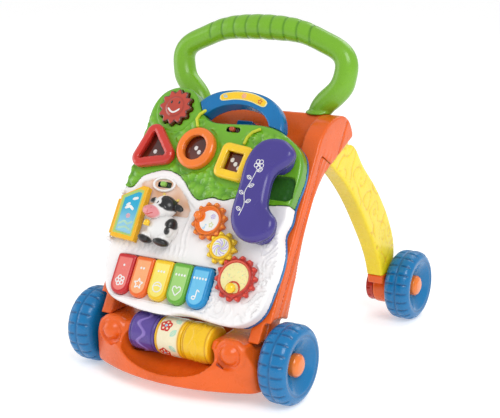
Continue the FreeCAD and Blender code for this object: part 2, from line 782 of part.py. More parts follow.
def rounded_triangle(reach, radius, low, high):
    """A triangle with round corners, its corners reach out of the middle."""
    centres = [(reach - radius, 90), (reach - radius, 210), (reach - radius, 330)]
    spots = [(d * math.cos(math.radians(t)), d * math.sin(math.radians(t)), t) for d, t in centres]
    arcs = []
    for x, y, t in spots:
        angles = [math.radians(t + d) for d in (-60, 0, 60)]
        points = [Vector(x + radius * math.cos(a), y + radius * math.sin(a), 0) for a in angles]
        arcs.append(Part.Arc(*points).toShape())
    lines = []
    for one, two in zip(arcs, arcs[1:] + arcs[:1]):
        lines.append(Part.LineSegment(one.Vertexes[-1].Point, two.Vertexes[0].Point).toShape())
    return slab(Part.Wire(Part.__sortEdges__(arcs + lines)), low, high)


def button_prism(kind, grow, low, high):
    """The plan of one shape button, grown by some amount, between two heights on the panel."""
    if kind == "triangle":
        made = rounded_triangle(36.5 + grow, 14.0 + grow, low, high)
        turn = 12.0
    elif kind == "circle":
        made = Part.makeCylinder(30.0 + grow, high - low, Vector(0, 0, low))
        turn = 0.0
    else:
        made = rounded_box(50 + 2 * grow, 50 + 2 * grow, 10 + grow, low, high)
        turn = -7.0
    x, s = BEZELS[kind]
    return moved(made, x, s, 0, turn)


def bezel_shape(kind):
    """A raised rim round a shape button."""
    band, proud = size("bezel_band"), size("bezel_proud")
    ring = button_prism(kind, 0.0, 0.1, proud)
    ring = softened(ring, 5.0, level_edge(proud))
    ring = ring.cut(button_prism(kind, -band, -1, proud + 1))
    sleeve = button_prism(kind, -band + 2.0, -12.0, 0.1).cut(button_prism(kind, -band, -13, 1))
    return ring.fuse(sleeve)


def button_shape(kind):
    """The sunk, see-through push piece inside a rim."""
    top = size("lens_sink")
    lens = button_prism(kind, -size("bezel_band") - 0.4, -9.0, top)
    return softened(lens, 1.5, level_edge(top))


# ---------------------------------------------------------------- activity panel mouldings


def upper_face():
    """The green tree-top moulding with its holes, cradle and twig seats."""
    face = face_block().cut(face_hollow())
    face = face.common(zone(True))
    for kind in BEZELS:
        face = face.cut(button_prism(kind, -size("bezel_band") + 2.05, -30, 5))
    sun = moved(slab(star_wire(size("sun_radius"), size("sun_point"), grow=0.6), -30, 5), *SUN)
    face = face.cut(sun)
    slot = rounded_box(22, 7, 3, -30, 5, 16, 397)
    face = face.cut(slot)
    well = rounded_box(44, 34, 8, -30, 5, 112, 322)
    cradle = rounded_box(50, 40, 10, -9, -0.6, 112, 322).cut(rounded_box(44, 34, 8, -6.5, 5, 112, 322))
    cradle = cradle.common(zone(True)).common(slab(panel_outline(size("skin")), -20, 10))
    return face.cut(well).fuse(cradle)


def lower_face():
    """The white barn moulding with its key bay, gear spindles, door jamb and mode slot."""
    face = face_block().cut(face_hollow())
    face = face.common(zone(False, -0.3))
    low = size("key_top") - size("key_length") - 1.2
    length = size("key_length") + 2.4
    bay = rounded_box(KEY_BAY[1] - KEY_BAY[0], length, 3, -30, 5, sum(KEY_BAY) / 2, low + length / 2)
    face = face.cut(bay)
    face = face.cut(rounded_box(24, 8, 3.5, -30, 5, -69, 306))
    for x, s, teeth in GEARS.values():
        face = face.fuse(Part.makeCylinder(size("spindle_radius"), 9.0, Vector(x, s, -1)))
    for s in (size("door_low") - 3.4, size("door_high") - 10.0):
        lug = rounded_box(8, 6, 2, -1, 9, size("door_left"), s)
        bore = Part.makeCylinder(size("pin_radius"), 20, Vector(size("door_left"), s - 10, 4.6),
                                 Vector(0, 1, 0))
        face = face.fuse(lug).cut(bore)
    return face


def back_plate():
    """The blue tray that closes the panel, with its battery bay."""
    tray = slab(panel_outline(), -size("back_depth"), -size("face_depth") - 0.05)
    tray = softened(tray, 2.0, level_edge(-size("back_depth")))
    tray = tray.cut(slab(panel_outline(size("skin") + 0.6), -size("back_depth") + size("skin"), 0))
    tray = tray.cut(under_cut())
    floor = rounded_box(102, 72, 8, -size("back_depth") + 0.2, -11.0, 0, 250)
    tray = tray.fuse(floor).cut(rounded_box(96, 66, 6, -30, -13.0, 0, 250))
    sill = Part.makeBox(250, 3, 16, Vector(-125, 146.5, -size("back_depth") + 1))
    return tray.fuse(sill.common(slab(panel_outline(4.0), -30, 0))).removeSplitter()


upper = node(solid("PanelUpper", upper_face()), "panel_upper", lean())
lower = node(solid("PanelLower", lower_face()), "panel_lower", lean())
back_raw = back_plate()


def carry_handle_shape():
    """The blue grab loop over the tree top."""
    bow = [(91, 394), (85, 423), (63, 446), (28, 457), (-8, 458)]
    bow += [(-38, 450), (-58, 432), (-67, 398), (10, 350)]
    ring = slab(smooth_loop(bow), -24.5, -2.5)
    ring = softened(ring, 6.0, lambda e: e.BoundBox.ZLength < 0.01)
    hole = slab(Part.Wire(Part.Ellipse(Vector(), 58, 38).toShape()), -30, 10)
    ring = ring.cut(moved(hole, 12, 398))
    ring = ring.cut(slab(panel_outline(-0.3), -60, 60))
    return max(ring.Solids, key=lambda s: s.Volume)


carry = carry_handle_shape()
node(solid("CarryHandle", carry), "carry_handle", lean())
node(solid("PanelBack", back_raw.cut(carry)), "panel_back", lean())

door_plate = rounded_box(95.4, 65.4, 5.6, -size("back_depth") + 0.1, -size("back_depth") + 2.6, 0, 250)
node(solid("BatteryDoor", door_plate), "battery_door", lean())
cells = []
for i in range(2):
    cell = primitive("Part::Cylinder", f"Cell{i}", {})
    cell.Radius, cell.Height = 4.2, 44.5
    cell.Placement = at(-22.25, 240 + 20 * i, -18.0, (0, 1, 0), 90)
    cells.append(cell)
node(group("Batteries", cells), "batteries", lean())
board = primitive("Part::Box", "Board", {})
board.Length, board.Width, board.Height = 120, 24, 1.6
board.Placement = at(-60, 318, -14)
node(group("BoardGroup", [board]), "circuit_board", lean())
basket = Part.makeCylinder(16, 3, Vector(-95, 250, -20))
cone = Part.makeCone(14, 8, 6, Vector(-95, 250, -17))
node(solid("Speaker", basket.fuse(cone)), "speaker", lean())


# ---------------------------------------------------------------- panel controls

for kind in BEZELS:
    node(solid("Bezel" + kind.title(), bezel_shape(kind)), "bezel_" + kind, lean())
    node(solid("Button" + kind.title(), button_shape(kind)), "button_" + kind, lean())

sun_button = slab(star_wire(size("sun_radius"), size("sun_point")), -9, 6)
sun_button = softened(sun_button, 2.0, level_edge(6.0))
node(solid("SunButton", moved(sun_button, *SUN)), "sun_button", lean())


def slider(label, width, length, x, s, travel_x):
    """A thumb piece on a flange that slides behind its slot."""
    thumb = rounded_box(width, length, 2.5, -6.0, 5.0, x, s)
    flange = rounded_box(width + 8, length + 6, 2.0, -6.0, -size("skin") - 0.4, x, s)
    thumb = softened(thumb, 1.5, level_edge(5.0))
    node(solid(label.title().replace("_", ""), thumb.fuse(flange)), label, lean())


slider("power_switch", 8.0, 6.0, 16.0, 397.0, 5.0)
slider("mode_switch", 9.0, 7.0, -69.0, 306.0, 5.0)


def key_shape(index):
    """One piano key, round at its free end."""
    pitch, length, proud = size("key_pitch"), size("key_length"), size("key_proud")
    width = pitch - 1.0
    x = size("key_left") + (index + 0.5) * pitch
    top = size("key_top")
    key = rounded_box(width, length, 4, -5.0, proud, x, top - length / 2)
    end = Part.makeCylinder(width / 2, 40, Vector(x, top - length + width / 2, -20))
    square = Part.makeBox(width, length - width / 2, 40, Vector(x - width / 2, top - length + width / 2, -20))
    key = softened(key.common(end.fuse(square)), 3.5, level_edge(proud))
    hinge = Vector(x - pitch, top - size("key_pivot"), 0)
    return key.cut(Part.makeCylinder(size("pin_radius") + size("axle_slip"), 2 * pitch, hinge,
                                     Vector(1, 0, 0)))


for index, name in enumerate(("red", "orange", "yellow", "green", "blue")):
    node(solid("Key" + name.title(), key_shape(index)), "key_" + name, lean())


def gear_shape(name):
    """A chunky gear with wave-shaped teeth and a raised rim, bored for its spindle."""
    x, s, teeth = GEARS[name]
    pitch_radius = size("gear_module") * teeth / 2
    phase = GEAR_PHASE[name]
    steps = teeth * 4
    points = []
    for i in range(steps):
        turn = 2 * math.pi * i / steps
        r = pitch_radius - size("tooth_slack") + size("tooth_swing") * math.cos(teeth * (turn - phase))
        points.append((r * math.cos(turn), r * math.sin(turn)))
    gear = slab(smooth_loop(points), 0.5, size("gear_thickness"))
    rim = Part.makeCylinder(pitch_radius - 4.5, 3.0, Vector(0, 0, size("gear_thickness")))
    dish = Part.makeCylinder(pitch_radius - 7.5, 3.0, Vector(0, 0, size("gear_thickness") + 0.6))
    bore = Part.makeCylinder(size("spindle_radius") + 0.06, 7.6, Vector(0, 0, 0.4))
    gear = moved(gear.fuse(rim).cut(dish).cut(bore), x, s)
    if name in GEAR_KNOBS:
        knob_x, knob_s, radius = GEAR_KNOBS[name]
        seat = Vector(knob_x, knob_s, size("gear_thickness") + 0.6)
        gear = gear.cut(Part.makeCylinder(radius + 0.1, 10.0, seat))
    return gear


def mesh_phase():
    """Turns of each gear's first tooth, so that teeth stand in gaps where the gears meet."""
    phases = {"yellow": 0.0}
    yx, ys, yellow_teeth = GEARS["yellow"]
    for name in ("orange", "red"):
        x, s, teeth = GEARS[name]
        to_other = math.atan2(s - ys, x - yx)
        yellow_wave = yellow_teeth * (to_other - phases["yellow"])
        back = to_other + math.pi
        phases[name] = back - (math.pi - yellow_wave) / teeth
    return phases


GEAR_PHASE = mesh_phase()
for name in GEARS:
    node(solid("Gear" + name.title(), gear_shape(name)), "gear_" + name, lean())


def ellipsoid(x, s, n, rx, rs, rn, turn=0.0):
    """A stretched ball on the panel."""
    stretch = FreeCAD.Matrix()
    stretch.scale(rx, rs, rn)
    ball = Part.makeSphere(1.0).transformGeometry(stretch)
    return moved(ball, x, s, n, turn)


def gear_knob(name, x, s, radius):
    """A round finger knob that stands on a gear, off its centre."""
    floor = size("gear_thickness") + 0.65
    stem = Part.makeCylinder(radius * 0.7, radius, Vector(x, s, floor))
    ball = ellipsoid(x, s, floor + radius, radius, radius, radius * 0.8)
    node(solid("GearKnob" + name.title(), stem.fuse(ball)), "gear_knob_" + name, lean())


for name, (x, s, radius) in GEAR_KNOBS.items():
    gear_knob(name, x, s, radius)


def phone_shape():
    """The toy hand set: a bowed grip with a cup at each end."""
    x0, s0 = size("phone_x"), size("phone_s")
    half, low, high = size("phone_length") / 2, size("phone_low_n"), size("phone_high_n")
    points = [
        (x0 - 3, s0 + half), (x0 - 24, s0 + half - 11), (x0 - 34, s0 + 38), (x0 - 34, s0), (x0 - 35, s0 - 30),
        (x0 - 29, s0 - half + 17), (x0 - 8, s0 - half), (x0 + 18, s0 - half + 2), (x0 + 33, s0 - half + 16),
        (x0 + 31, s0 - half + 34), (x0 + 17, s0 - 24), (x0 + 11, s0), (x0 + 13, s0 + 22), (x0 + 27, s0 + 36),
        (x0 + 34, s0 + 52), (x0 + 23, s0 + half - 5),
    ]
    grip = slab(smooth_loop(points), low, high)
    grip = softened(grip, 9.0, lambda e: e.BoundBox.ZLength < 0.01)
    for s in (s0 + half - 22, s0 - half + 22):
        cup = Part.makeCylinder(19.0, low - 0.6 + 8, Vector(x0 + 4, s, 0.6))
        grip = grip.fuse(cup)
    return grip


node(solid("Handset", phone_shape()), "handset", lean())


def door_shape():
    """The barn door, with a knuckle along its left edge."""
    left, low, high = size("door_left"), size("door_low"), size("door_high")
    right, thick = left + size("door_width"), size("door_thick")
    outline = [(left + 5, low), (right, low - 3), (right, high), (right - 10, high + 1),
               (left + 5, high - 17)]
    door = slab(loop(outline), 2.2, 2.2 + thick)
    door = softened(door, 1.5, level_edge(2.2 + thick))
    knuckle = Part.makeCylinder(3.6, high - low - 26, Vector(left, low + 5, 4.6), Vector(0, 1, 0))
    web = Part.makeBox(8, high - low - 26, 5, Vector(left, low + 5, 2.2))
    door = door.fuse(knuckle).fuse(web)
    bore = Part.makeCylinder(size("pin_radius") + 0.06, 120, Vector(left, low - 20, 4.6), Vector(0, 1, 0))
    return door.cut(bore)


node(solid("Door", door_shape()), "door", lean())
PIN_LOW, PIN_HIGH = size("door_low") - 6.0, size("door_high") - 7.5
pin = primitive("Part::Cylinder", "DoorPin", {"Radius": "Sizes.pin_radius"})
pin.Height = PIN_HIGH - PIN_LOW
pin.Placement = at(size("door_left"), PIN_LOW, 4.6, (1, 0, 0), -90)
key_pin = primitive("Part::Cylinder", "KeyPin", {"Radius": "Sizes.pin_radius"})
key_pin.Height = KEY_BAY[1] - KEY_BAY[0] - 0.4
key_pin.Placement = at(KEY_BAY[0] + 0.2, size("key_top") - size("key_pivot"), 0.0, (0, 1, 0), 90)
node(group("HingePins", [pin, key_pin]), "hinge_pins", lean())


def above_face(shape, gap=0.1):
    """Only what stands in front of the face."""
    return shape.common(Part.makeBox(500, 600, 100, Vector(-250, 0, gap)))


cow_body = above_face(ellipsoid(-45, 240, 6, 26, 22, 20))
cow_head = above_face(ellipsoid(-46, 270, 14, 20, 17, 16)).fuse(ellipsoid(-58, 258, 26, 17, 10, 11, -12))
cow_feet = [above_face(ellipsoid(x, 223, 10, 14, 7, 12, turn)) for x, turn in ((-63, -18), (-33, -6))]
cow_body = cow_body.fuse(cow_feet)
node(solid("CowBody", cow_body), "cow_body", lean())
node(solid("CowHead", cow_head.cut(cow_body)), "cow_head", lean())


def twig(points, radius):
    """A thin bough that lies on the tree top."""
    made = None
    spots = [Vector(x, s, radius + 0.3) for x, s in points]
    for a, b in zip(spots, spots[1:]):
        stick = Part.makeCylinder(radius, (b - a).Length, a, b - a)
        joint = Part.makeSphere(radius, b)
        made = stick.fuse(joint) if made is None else made.fuse([stick, joint])
    return made.fuse(Part.makeSphere(radius, spots[0]))


TWIG_RADIUS = 2.3
TWIGS = (((-41, 396), (-46, 406), (-43, 414), (-36, 420)), ((42, 378), (44, 387), (50, 395), (60, 400)))
twigs = [twig(points, TWIG_RADIUS) for points in TWIGS]
node(solid("Branches", Part.makeCompound(twigs)), "branches", lean())


def latch_shape():
    """The blue catch that holds the panel's top edge."""
    tab = rounded_box(26, 12, 3, -59.4, -46, 0.5, 423)
    stem = rounded_box(20, 12, 2, -76, -59.0, 0.5, 422)
    tab = softened(tab, 2.0, level_edge(-46))
    return tab.fuse(stem)


node(solid("Latch", latch_shape()), "latch", lean())

def screw_heads(name, label, thickness, spots):
    """Round screw heads, each lying against a rear face at its own (x, s, n)."""
    heads = []
    for i, (x, s, n) in enumerate(spots):
        head = primitive("Part::Cylinder", f"{name}{i}", {"Radius": "Sizes.screw_head"})
        head.Height = thickness
        head.Placement = at(x, s, n)
        heads.append(head)
    node(group(name, heads), label, lean())


FRAME_SPOTS = [(side * 127, s, n) for side in (1, -1) for s, n in ((180, -66.7), (330, -53.9))]
FRAME_SPOTS += [(60, 425, -106.9), (-60, 425, -106.9)]
PANEL_SPOTS = [(x, s, -size("back_depth") - 1.65) for x in (104, -104) for s in (175, 375)]
PANEL_SPOTS += [(x, 250, -size("back_depth") - 1.65) for x in (60, -60)]
screw_heads("FrameScrews", "frame_screws", 2.0, FRAME_SPOTS)
screw_heads("PanelScrews", "panel_screws", 1.6, PANEL_SPOTS)


# ---------------------------------------------------------------- write the sub-parts

doc.recompute()
bad = [o.Label for o in doc.Objects if "Invalid" in o.State or "Error" in o.State]
if bad:
    raise SystemExit(f"features that failed: {bad}")
os.makedirs("parts", exist_ok=True)
for feature in NODES:
    shape = feature.Shape
    if shape.isNull() or not shape.isValid() or not shape.Solids:
        raise SystemExit(f"{feature.Label} has no valid solid")
    shape.exportStep(os.path.join("parts", feature.Label + ".step"))
print(len(NODES), "nodes written")
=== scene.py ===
"""Looks of the baby push walker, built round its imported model. Metres, +Z up, the activity panel faces -Y."""

import json
import math

import bmesh
import bpy
import numpy as np
from mathutils import Matrix, Vector
from mathutils.bvhtree import BVHTree


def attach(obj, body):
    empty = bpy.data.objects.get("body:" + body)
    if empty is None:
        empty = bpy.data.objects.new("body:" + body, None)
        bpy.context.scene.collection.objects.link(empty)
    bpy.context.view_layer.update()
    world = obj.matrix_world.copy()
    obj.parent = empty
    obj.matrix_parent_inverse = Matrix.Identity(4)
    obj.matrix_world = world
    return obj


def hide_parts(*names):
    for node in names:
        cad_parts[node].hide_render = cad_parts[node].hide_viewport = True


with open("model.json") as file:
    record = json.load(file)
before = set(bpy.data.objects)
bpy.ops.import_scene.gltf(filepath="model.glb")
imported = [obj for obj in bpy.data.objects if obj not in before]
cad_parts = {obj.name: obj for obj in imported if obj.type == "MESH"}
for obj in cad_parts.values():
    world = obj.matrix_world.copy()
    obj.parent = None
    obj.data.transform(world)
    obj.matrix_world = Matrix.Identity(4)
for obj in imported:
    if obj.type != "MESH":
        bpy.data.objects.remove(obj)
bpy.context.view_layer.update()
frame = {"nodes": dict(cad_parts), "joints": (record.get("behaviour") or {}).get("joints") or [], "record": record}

MM = 0.001
JOINTS = {joint["name"]: joint for joint in frame["joints"]}

# ---- the leaning panel's own axes
# x across, s up along the panel's face, n out of it, all in millimetres; n is 0 on the face.

FACE_OUT = Vector(JOINTS["panel_lift"]["axis"]).normalized()
FACE_UP = FACE_OUT.cross(Vector((1, 0, 0))).normalized()
GEAR_PIVOT_N = 4.0


def face_origin():
    """The point where the panel's face, carried down, meets the floor."""
    pivot = Vector(JOINTS["gear_orange_spin"]["pos_m"])
    y = (FACE_OUT.dot(pivot) - GEAR_PIVOT_N * MM) / FACE_OUT.y
    return Vector((0, y, 0))


FACE_ORIGIN = np.array(face_origin())
FACE_TURN = np.array(Matrix(((1, 0, 0), FACE_UP, FACE_OUT)).transposed())


def on_face(points):
    """World positions, in metres, of (x, s, n) rows in millimetres."""
    rows = np.asarray(points, float).reshape(-1, 3) * MM
    return rows @ FACE_TURN.T + FACE_ORIGIN


def to_face(world):
    """(x, s, n) rows in millimetres of world positions in metres."""
    return (np.asarray(world, float) - FACE_ORIGIN) @ FACE_TURN / MM


# ---- materials


def node_tree(name):
    material = bpy.data.materials.new(name)
    material.use_nodes = True
    tree = material.node_tree
    return material, tree, tree.nodes["Principled BSDF"]


def link(tree, source, target):
    tree.links.new(source, target)


def noise(tree, scale, detail=3.0):
    """Noise over the piece's own place in the model."""
    place = tree.nodes.new("ShaderNodeTexCoord")
    texture = tree.nodes.new("ShaderNodeTexNoise")
    texture.inputs["Scale"].default_value = scale
    texture.inputs["Detail"].default_value = detail
    link(tree, place.outputs["Object"], texture.inputs["Vector"])
    return texture


def ramp(tree, source, low, high, at_low=0.35, at_high=0.65):
    made = tree.nodes.new("ShaderNodeValToRGB")
    made.color_ramp.elements[0].position = at_low
    made.color_ramp.elements[0].color = (*low, 1)
    made.color_ramp.elements[1].position = at_high
    made.color_ramp.elements[1].color = (*high, 1)
    link(tree, source, made.inputs["Fac"])
    return made


def shade(colour, factor):
    return tuple(min(1.0, max(0.0, c * factor)) for c in colour)


BASE_SHARE = 0.86


def moulded(name, colour, rough=0.26, fine=1400.0, bump=0.05, vary=0.07, coat=0.12, painted=False):
    """Injection-moulded plastic: slight streaks of colour, uneven gloss and a fine skin."""
    material, tree, shader = node_tree(name)
    flow = noise(tree, 22.0)
    if painted:
        paint = tree.nodes.new("ShaderNodeAttribute")
        paint.attribute_name = "paint"
        mixed = tree.nodes.new("ShaderNodeMix")
        mixed.data_type = "RGBA"
        mixed.blend_type = "MULTIPLY"
        mixed.inputs["Factor"].default_value = 1.0
        streak = ramp(tree, flow.outputs["Fac"], (BASE_SHARE * (1 - vary),) * 3, (BASE_SHARE,) * 3)
        link(tree, paint.outputs["Color"], mixed.inputs["A"])
        link(tree, streak.outputs["Color"], mixed.inputs["B"])
        link(tree, mixed.outputs["Result"], shader.inputs["Base Color"])
    else:
        dim, lit = shade(colour, BASE_SHARE * (1 - vary)), shade(colour, BASE_SHARE * (1 + vary))
        streak = ramp(tree, flow.outputs["Fac"], dim, lit)
        link(tree, streak.outputs["Color"], shader.inputs["Base Color"])
    patch = noise(tree, 60.0)
    gloss = ramp(tree, patch.outputs["Fac"], (rough * 0.8,) * 3, (rough * 1.25,) * 3)
    link(tree, gloss.outputs["Color"], shader.inputs["Roughness"])
    skin = noise(tree, fine, 2.0)
    relief = tree.nodes.new("ShaderNodeBump")
    relief.inputs["Strength"].default_value = bump
    relief.inputs["Distance"].default_value = 0.0004
    link(tree, skin.outputs["Fac"], relief.inputs["Height"])
    link(tree, relief.outputs["Normal"], shader.inputs["Normal"])
    shader.inputs["Coat Weight"].default_value = coat
    shader.inputs["Coat Roughness"].default_value = 0.12
    shader.inputs["Specular IOR Level"].default_value = 0.38
    return material


def steel(name, colour, rough):
    """Drawn steel rod or a plated screw."""
    material, tree, shader = node_tree(name)
    drawn = noise(tree, 300.0)
    tone = ramp(tree, drawn.outputs["Fac"], shade(colour, 0.85), shade(colour, 1.1))
    link(tree, tone.outputs["Color"], shader.inputs["Base Color"])
    gloss = ramp(tree, drawn.outputs["Fac"], (rough * 0.7,) * 3, (rough * 1.3,) * 3)
    link(tree, gloss.outputs["Color"], shader.inputs["Roughness"])
    shader.inputs["Metallic"].default_value = 1.0
    return material


LIME = (0.20, 0.46, 0.02)
ORANGE = (0.84, 0.125, 0.008)
YELLOW = (0.94, 0.60, 0.006)
BLUE = (0.001, 0.165, 0.43)
RED = (0.50, 0.035, 0.018)
GREEN = (0.155, 0.44, 0.03)
WHITE = (0.97, 0.95, 0.95)
PURPLE = (0.115, 0.065, 0.33)
PEACH = (0.86, 0.48, 0.28)
BLACK = (0.012, 0.012, 0.014)

MATERIALS = {
    "lime_grip": moulded("LimeGrip", LIME, rough=0.24),
    "orange_shell": moulded("OrangeShell", ORANGE, rough=0.27),
    "yellow_shell": moulded("YellowShell", YELLOW, rough=0.24),
    "blue_shell": moulded("BlueShell", BLUE, rough=0.22),
    "red_shell": moulded("RedShell", RED, rough=0.2),
    "green_shell": moulded("GreenShell", GREEN, rough=0.28),
    "white_shell": moulded("WhiteShell", WHITE, rough=0.34, vary=0.03),
    "purple_shell": moulded("PurpleShell", PURPLE, rough=0.26),
    "dark_lens": moulded("DarkLens", (0.10, 0.012, 0.006), rough=0.1, vary=0.3, coat=0.8),
    "steel": steel("Steel", (0.62, 0.62, 0.63), 0.3),
    "board": moulded("Board", (0.01, 0.11, 0.035), rough=0.4),
    "speaker_black": moulded("SpeakerBlack", (0.02, 0.02, 0.02), rough=0.6, coat=0.0),
    "cell": moulded("Cell", (0.03, 0.03, 0.035), rough=0.35),
}

for part in frame["record"]["subparts"]:
    thing = frame["nodes"][part["node"]]
    thing.data.materials.clear()
    thing.data.materials.append(MATERIALS[part["material_slot"]])

# ---- mesh helpers


def coordinates(mesh):
    rows = np.zeros(len(mesh.vertices) * 3, np.float32)
    mesh.vertices.foreach_get("co", rows)
    return rows.reshape(-1, 3).astype(float)


def set_coordinates(mesh, rows):
    mesh.vertices.foreach_set("co", np.asarray(rows, np.float32).ravel())
    mesh.update()


def normals(mesh):
    rows = np.zeros(len(mesh.vertices) * 3, np.float32)
    mesh.vertex_normals.foreach_get("vector", rows)
    return rows.reshape(-1, 3).astype(float)


def to_mesh(bm):
    """A new mesh from a bmesh, which is then freed."""
    mesh = bpy.data.meshes.new("shape")
    bm.to_mesh(mesh)
    bm.free()
    return mesh


def add_piece(name, mesh, body, slot, material, *nodes):
    """Puts a finished mesh in the scene, riding on a body, in place of some CAD nodes."""
    piece = bpy.data.objects.new(name, mesh)
    bpy.context.scene.collection.objects.link(piece)
    mesh.materials.clear()
    mesh.materials.append(material)
    mesh.polygons.foreach_set("use_smooth", [True] * len(mesh.polygons))
    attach(piece, body)
    if nodes:
        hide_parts(*nodes)
    return piece


def add_plain(name, mesh, body, slot, *nodes):
    """A piece in its slot's own material."""
    return add_piece(name, mesh, body, slot, MATERIALS[slot], *nodes)


def remeshed(mesh, voxel, passes):
    """The same closed shape with evenly spaced points, smoothed a number of times; voxel in mm."""
    draft = bpy.data.objects.new("draft", mesh)
    bpy.context.scene.collection.objects.link(draft)
    grid = draft.modifiers.new("Grid", "REMESH")
    grid.mode = "VOXEL"
    grid.voxel_size = voxel * MM
    ease = draft.modifiers.new("Ease", "SMOOTH")
    ease.factor = 0.5
    ease.iterations = passes
    seen = bpy.context.evaluated_depsgraph_get()
    made = bpy.data.meshes.new_from_object(draft.evaluated_get(seen))
    bpy.data.objects.remove(draft)
    return made


def softened(node, voxel, passes):
    """A closed mesh of a CAD node with evenly spaced points and its edges rounded over."""
    weld = bmesh.new()
    weld.from_mesh(frame["nodes"][node].data)
    bmesh.ops.remove_doubles(weld, verts=weld.verts, dist=0.02 * MM)
    return remeshed(to_mesh(weld), voxel, passes)


def painted(mesh, colours):
    """Gives every point of a mesh its own colour, which a painted material reads."""
    layer = mesh.color_attributes.new("paint", "FLOAT_COLOR", "POINT")
    rows = np.ones((len(mesh.vertices), 4), np.float32)
    rows[:, :3] = colours
    layer.data.foreach_set("color", rows.ravel())


def step(low, high, value):
    """0 below low, 1 above high, smooth between."""
    t = np.clip((value - low) / (high - low), 0.0, 1.0)
    return t * t * (3 - 2 * t)


def bell(value, width):
    """1 where value is 0, falling off smoothly over the width."""
    return np.exp(-((value / width) ** 2))


def scatter_cells(x, y, pitch, seed):
    """Distance from each point to the nearest of a field of scattered spots, as a share of their pitch."""
    spots = np.random.RandomState(seed)
    table = spots.rand(64, 64, 2)
    u, v = x / pitch, y / pitch
    iu, iv = np.floor(u).astype(int), np.floor(v).astype(int)
    best = np.full(x.shape, 9.0)
    for du in (-1, 0, 1):
        for dv in (-1, 0, 1):
            jitter = table[(iu + du) % 64, (iv + dv) % 64]
            away = np.hypot(iu + du + jitter[:, 0] - u, iv + dv + jitter[:, 1] - v)
            best = np.minimum(best, away)
    return best


def waves(x, y, pitch, seed):
    """Smooth random hills between -1 and 1."""
    random = np.random.RandomState(seed)
    total = np.zeros(x.shape)
    for i in range(6):
        turn, phase, stretch = random.rand(3) * (math.pi, 2 * math.pi, 1.0)
        total += np.sin((x * math.cos(turn) + y * math.sin(turn)) / pitch * (4 + 3 * stretch) + phase)
    return total / 3.0


def distance_to_line(x, y, points):
    """Distance of (x, y) rows from a polyline."""
    best = np.full(x.shape, 1e6)
    for (ax, ay), (bx, by) in zip(points, points[1:]):
        dx, dy = bx - ax, by - ay
        share = np.clip(((x - ax) * dx + (y - ay) * dy) / (dx * dx + dy * dy), 0, 1)
        best = np.minimum(best, np.hypot(x - ax - share * dx, y - ay - share * dy))
    return best


def inside(x, y, points):
    """Whether each (x, y) lies inside a closed outline."""
    odd = np.zeros(x.shape, bool)
    for (ax, ay), (bx, by) in zip(points, points[1:] + points[:1]):
        if ay == by:
            continue
        crosses = (ay > y) != (by > y)
        odd ^= crosses & (x < (bx - ax) * (y - ay) / (by - ay) + ax)
    return odd


def curved(points, steps=6, closed=False):
    """A Catmull-Rom curve through (x, y) points."""
    rows = [np.array(p, float) for p in points]
    count = len(rows)
    made = []
    spans = count if closed else count - 1
    for i in range(spans):
        a = rows[(i - 1) % count] if closed or i else rows[0]
        b, c = rows[i], rows[(i + 1) % count]
        d = rows[(i + 2) % count] if closed or i + 2 < count else rows[-1]
        for j in range(steps):
            t = j / steps
            square, cube = 2 * a - 5 * b + 4 * c - d, 3 * b - a - 3 * c + d
            made.append(0.5 * (2 * b + (c - a) * t + square * t * t + cube * t**3))
    if not closed:
        made.append(rows[-1])
    return [tuple(p) for p in made]


TUBE_TIP_SHARE = 0.08


def tube(points, radius, sides):
    """A blunt-ended tube along a list of world points; points and radius in metres."""
    bm = bmesh.new()
    points = [Vector(p) for p in points]
    rings = []
    across = None
    last = len(points) - 1
    stations = []
    for i, point in enumerate(points):
        along = (points[min(i + 1, last)] - points[max(i - 1, 0)]).normalized()
        stations.append((point, along, radius))
    (start, ahead, _), (end, behind, _) = stations[0], stations[-1]
    tip = radius * TUBE_TIP_SHARE
    ends = (start - ahead * radius, ahead, tip), (end + behind * radius, behind, tip)
    for point, along, reach in [ends[0], *stations, ends[1]]:
        if across is None:
            across = along.orthogonal().normalized()
        across = (across - along * across.dot(along)).normalized()
        other = along.cross(across)
        ring = [
            bm.verts.new(point + (across * math.cos(t) + other * math.sin(t)) * reach)
            for t in [2 * math.pi * k / sides for k in range(sides)]
        ]
        rings.append(ring)
    for one, two in zip(rings, rings[1:]):
        for k in range(sides):
            bm.faces.new((one[k], one[(k + 1) % sides], two[(k + 1) % sides], two[k]))
    bm.faces.new(list(reversed(rings[0])))
    bm.faces.new(rings[-1])
    return to_mesh(bm)


def joined(meshes):
    """One mesh out of several."""
    bm = bmesh.new()
    for mesh in meshes:
        bm.from_mesh(mesh)
    return to_mesh(bm)


def plate(outline, low, high, bevel=0.0, steps=2):
    """A flat outline in (x, s) raised from n = low to n = high on the panel, its top edge rounded."""
    bm = bmesh.new()
    ring = [bm.verts.new((x, s, low)) for x, s in outline]
    face = bm.faces.new(ring)
    bmesh.ops.recalc_face_normals(bm, faces=[face])
    made = bmesh.ops.extrude_face_region(bm, geom=[face])
    top = [v for v in made["geom"] if isinstance(v, bmesh.types.BMVert)]
    bmesh.ops.translate(bm, verts=top, vec=(0, 0, high - low))
    bmesh.ops.recalc_face_normals(bm, faces=bm.faces)
    if bevel:
        edges = [e for e in bm.edges if all(abs(v.co.z - high) < 1e-6 for v in e.verts)]
        bmesh.ops.bevel(bm, geom=edges, offset=bevel, segments=steps, affect="EDGES", profile=0.6)
    bmesh.ops.triangulate(bm, faces=[f for f in bm.faces if len(f.verts) > 4])
    mesh = to_mesh(bm)
    set_coordinates(mesh, on_face(coordinates(mesh)))
    return mesh


def oval(x, s, rx, rs, count=32, turn=0.0):
    """Points round an ellipse on the panel."""
    c, d = math.cos(math.radians(turn)), math.sin(math.radians(turn))
    made = []
    for i in range(count):
        t = 2 * math.pi * i / count
        u, v = rx * math.cos(t), rs * math.sin(t)
        made.append((x + u * c - v * d, s + u * d + v * c))
    return made


# ---- strokes laid on a surface


